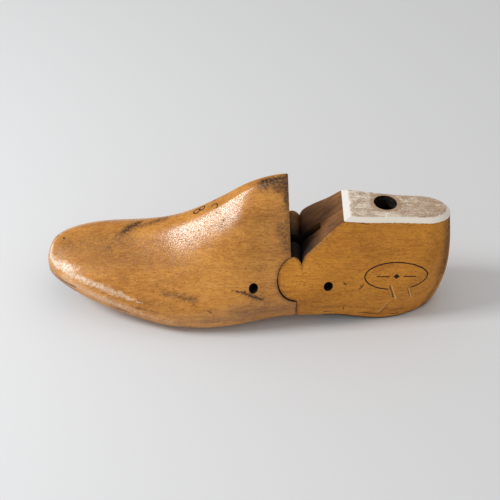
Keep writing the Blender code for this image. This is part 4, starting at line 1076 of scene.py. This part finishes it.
# Masks kept on the points: edgeWear 1 at the joint's outline, soleWear 1 at the sole's edge,
# each exp(-(distance / reach)^2) with the distance in millimetres.
def keepWear(piece, outline):
    mesh = piece.data
    n = len(mesh.vertices)
    points = np.empty(n * 3)
    mesh.vertices.foreach_get("co", points)
    points = points.reshape(-1, 3) / mm
    outline = np.asarray(outline, float)
    flat = points[:, [0, 2]]
    nearest = np.full(n, 1e9)
    for a, b in zip(outline[:-1], outline[1:]):
        run = b - a
        t = np.clip(((flat - a) @ run) / max(run @ run, 1e-9), 0, 1)
        nearest = np.minimum(nearest, np.linalg.norm(flat - a - t[:, None] * run, axis=1))
    share = np.clip((points[:, 0] - toeX) / last["length"], 0, 1)
    soleEdge = points[:, 2] - curves["sole"](share) - curves["edgeRise"](share)
    for key, distance in (("edge", nearest), ("sole", soleEdge)):
        values = np.exp(-(distance / wearReach[key]) ** 2)
        mesh.attributes.new(key + "Wear", "FLOAT", "POINT").data.foreach_set("value", values)


# Spring wire: the coil's turns and the loops round the pins. The joins from loop to coil are eased between
# two points counted from either end of the wire.
spring = {"wire": 0.7, "coil": 2.9, "pitch": 2.1, "turns": 17, "pointsPerTurn": 40, "wireSides": 14,
          "slack": 0.75, "stretch": 0.4, "loopAngle": 150, "loopPoints": 46, "eased": (30, 70), "easings": 12}


# Cutter with an outline in the last's long plane: right through the wood, or between two sides.
def through(outline, sides=(-saw["far"], saw["far"])):
    return prismMesh("cutter", outline, *sides)


# Slot for the spring, past its loop round the pin: direction is -1 to the toe and 1 to the heel.
def kerfCutter(pin, radius, direction):
    room = pins["radius"] + 2 * spring["wire"] + spring["slack"] + kerf["pinRoom"]
    openX = hinge["x"] - direction * kerf["overrun"]
    outline = kerfOutline(pin[0] + direction * room, radius, openX, direction)
    return through(outline, (kerf["side"] - kerf["width"] / 2, kerf["side"] + kerf["width"] / 2))


# Round cutter right across the last, round a pin.
def boreCutter(pin):
    profile = [(pins["holeRadius"], -saw["far"]), (pins["holeRadius"], saw["far"])]
    return turnedMesh("bore", profile, (pin[0], 0, pin[1]), (0, 1, 0), pins["sides"])


# Round holes for countersunk nails, square to the sole where they are driven.
def nailCutter(places):
    head, shank, sides = nailHole["head"], nailHole["shank"], nailHole["sides"]
    profile = [(head, nailHole["above"]), (head, nailHole["rim"]),
               (shank, nailHole["headDepth"] + nailHole["rim"]), (shank, nailHole["foot"])]
    holes = []
    for x, y in places:
        z, rise = soleAt(distanceAt(x))
        holes.append(turnedMesh("nailHole", profile, (x, y, float(z)), (-float(rise), 0, 1), sides))
    return joinMeshes("nailHoles", holes)


# A sole plate, with its recess in the wood, which is deeper and longer by the gap.
def plateSteps(start, end, gapAtStart, gapAtEnd):
    recess = through(soleBand(start - gapAtStart, end + gapAtEnd, plates["thickness"] + plates["gap"]))
    return recess, through(soleBand(start, end, plates["thickness"]))


print("wood: sawing the joint, the kerf and the holes")
heelNailHoles, toeNailHoles = nailCutter(plates["heelNails"]), nailCutter(plates["toeNails"])
heelFrom, heelTo = distanceAt(plates["heelFrom"]), last["length"] + plates["overrun"]
heelRecess, heelBand = plateSteps(heelFrom, heelTo, plates["gap"], 0)
toeRecess, toeBand = plateSteps(-plates["overrun"], plates["toeLength"], 0, plates["gap"])
thimbleBore = turnedMesh(
    "thimbleBore", [(thimbleHole["radius"], thimbleHole["foot"]), (thimbleHole["radius"], saw["above"])],
    (*thimbleHole["at"], 0), (0, 0, 1), thimbleHole["sides"])

forepart = carve("forepartWood", forepartWood, [
    ("INTERSECT", through(forepartOutline()), sawnWood),
    ("DIFFERENCE", toeRecess, sawnWood),
    ("DIFFERENCE", kerfCutter(pins["front"], kerf["forepartSaw"], -1), sawnWood),
    ("DIFFERENCE", boreCutter(pins["front"]), holeWood),
    ("DIFFERENCE", toeNailHoles, holeWood)])
heelPart = carve("heelWood", heelWood, [
    ("INTERSECT", through(heelOutline()), sawnWood),
    ("DIFFERENCE", through(chamferOutline()), heelWood),
    ("DIFFERENCE", heelRecess, sawnWood),
    ("DIFFERENCE", kerfCutter(pins["rear"], kerf["heelSaw"], 1), sawnWood),
    ("DIFFERENCE", boreCutter(pins["rear"]), holeWood),
    ("DIFFERENCE", thimbleBore, holeWood),
    ("DIFFERENCE", heelNailHoles, holeWood)])
plateSteel = steels["plate"]
heelPlate = carve("heelPlateSteel", plateSteel, [
    ("INTERSECT", heelBand, plateSteel),
    ("DIFFERENCE", heelNailHoles, plateSteel)])
toePlate = carve("toePlateSteel", plateSteel, [
    ("INTERSECT", toeBand, plateSteel),
    ("DIFFERENCE", toeNailHoles, plateSteel)])
keepWear(forepart, forepartOutline()[1:-1])
keepWear(heelPart, heelOutline()[:-3])


# Path of the wire: loop, coil, loop. Coil: start + along * s + r (sin a, cos a).
def springPath():
    front = np.array([pins["front"][0], kerf["side"], pins["front"][1]])
    rear = np.array([pins["rear"][0], kerf["side"], pins["rear"][1]])
    span = np.linalg.norm(rear - front)
    along, across = (rear - front) / span, np.array([0.0, 1.0, 0.0])
    upward = np.cross(along, across)
    loopRadius = pins["radius"] + spring["wire"] + spring["slack"]
    length = spring["pitch"] * spring["turns"]
    a = np.linspace(0, 2 * math.pi * spring["turns"], spring["turns"] * spring["pointsPerTurn"] + 1)[:, None]
    s = (span - length) / 2 + length * a / a[-1]
    coil = front + along * s + spring["coil"] * (np.sin(a) * across + np.cos(a) * upward)
    b = np.radians(np.linspace(-spring["loopAngle"], spring["loopAngle"], spring["loopPoints"]))[:, None]
    loops = [centre + loopRadius * (-sign * np.cos(b) * along + np.sin(b) * upward)
             for centre, sign in ((front, 1), (rear + spring["stretch"] * along, -1))]
    path = np.concatenate([loops[0], coil, loops[1][::-1]])
    # The joins are eased by repeated means of neighbours.
    start, end = spring["eased"]
    for _ in range(spring["easings"]):
        for way in (path, path[::-1]):
            way[start:end] = (way[start - 1:end - 1] + 2 * way[start:end] + way[start + 1:end + 1]) / 4
    return path


# Tube: path + radius (cos a, sin a) in a frame that turns as little as it can along the path.
def tubeMesh(name, path, radius, sides):
    tangents = unit(np.gradient(path, axis=0))
    normals = np.empty_like(path)
    normal = np.cross(tangents[0], (0.0, 1.0, 0.0))
    for k, tangent in enumerate(tangents):
        normal = normal - tangent * (normal @ tangent)
        normal /= np.linalg.norm(normal)
        normals[k] = normal
    others = np.cross(tangents, normals)
    a = np.linspace(0, 2 * math.pi, sides, endpoint=False)[None, :, None]
    circles = np.cos(a) * normals[:, None] + np.sin(a) * others[:, None]
    return closedGrid(name, path[:, None] + radius * circles)


springMesh = tubeMesh("springWire", springPath(), spring["wire"], spring["wireSides"])
springMesh.shade_smooth()
springWire = addObject("springWire", springMesh, steels["spring"])
print("spring:", len(springMesh.polygons), "faces")

for piece, body, slot, node in (
        (forepart, "forepart_body", "forepart_wood", "forepart"),
        (heelPart, "heel_body", "heel_wood", "heel_part"),
        (heelPlate, "heel_body", "plate_steel", "heel_plate"),
        (toePlate, "forepart_body", "plate_steel", "toe_plate"),
        (springWire, "spring_body", "spring_steel", "hinge_spring")):
    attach(piece, body)
    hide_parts(node)
# The solids' own pins, thimble and nails stay, in their steels.
for key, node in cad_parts.items():
    steel = next((kind for kind in ("nail", "pin", "thimble") if kind in key), None)
    if steel:
        node.data.materials.clear()
        node.data.materials.append(steels[steel])

# Floor, window light and sky.
studio = {"floor": (0.758, 0.77, 0.788), "floorSize": 8.0, "floorRoughness": 0.6, "floorGloss": 0.25,
          "window": {"from": (-0.760, -0.093, 0.643), "away": 1.2, "size": (0.36, 0.36), "power": 8.4,
                     "colour": (0.98, 0.99, 1.0)},
          "sky": (1.0, 0.98, 0.95), "skyStrength": 0.60, "reflected": 0.15}
print("studio: floor, lights and camera")
floorMesh = bpy.data.meshes.new("floor")
reach = studio["floorSize"] / 2
corners = [(-reach, -reach, 0), (reach, -reach, 0), (reach, reach, 0), (-reach, reach, 0)]
floorMesh.from_pydata(corners, [], [(0, 1, 2, 3)])
paleFloor = finish(newMaterial("paleFloor")[0], studio["floor"], studio["floorRoughness"],
                   levels={"Specular IOR Level": studio["floorGloss"]})
floor = addObject("floor", floorMesh, paleFloor)

window = studio["window"]
lamp = bpy.data.lights.new("window", "AREA")
lamp.shape = "RECTANGLE"
lamp.size, lamp.size_y = window["size"]
lamp.energy = window["power"]
lamp.color = window["colour"]
lampObject = addObject("window", lamp)
towards = Vector(window["from"]).normalized()
lampObject.location = towards * window["away"]
lampObject.rotation_euler = towards.to_track_quat("Z", "Y").to_euler()

world = bpy.data.worlds.new("studio")
bpy.context.scene.world = world
world.use_nodes = True
background = world.node_tree.nodes["Background"].inputs
feed(background["Color"], studio["sky"])
# The room is darker where gloss reflects it: strength = sky - is glossy ray * (sky - reflected).
isGlossy = addNode(world.node_tree, "ShaderNodeLightPath")["Is Glossy Ray"]
feed(background["Strength"], studio["skyStrength"] - isGlossy * (studio["skyStrength"] - studio["reflected"]))

camera = bpy.data.cameras.new("camera")
camera.lens, camera.sensor_width = view["lens"], view["sensor"]
camera.clip_start, camera.clip_end = view["clip"]
cameraObject = addObject("camera", camera)
cameraObject.location = eye
cameraObject.rotation_euler = (math.radians(90 - view["elevation"]), 0, 0)
bpy.context.scene.camera = cameraObject
bpy.context.scene.view_settings.view_transform = "Standard"
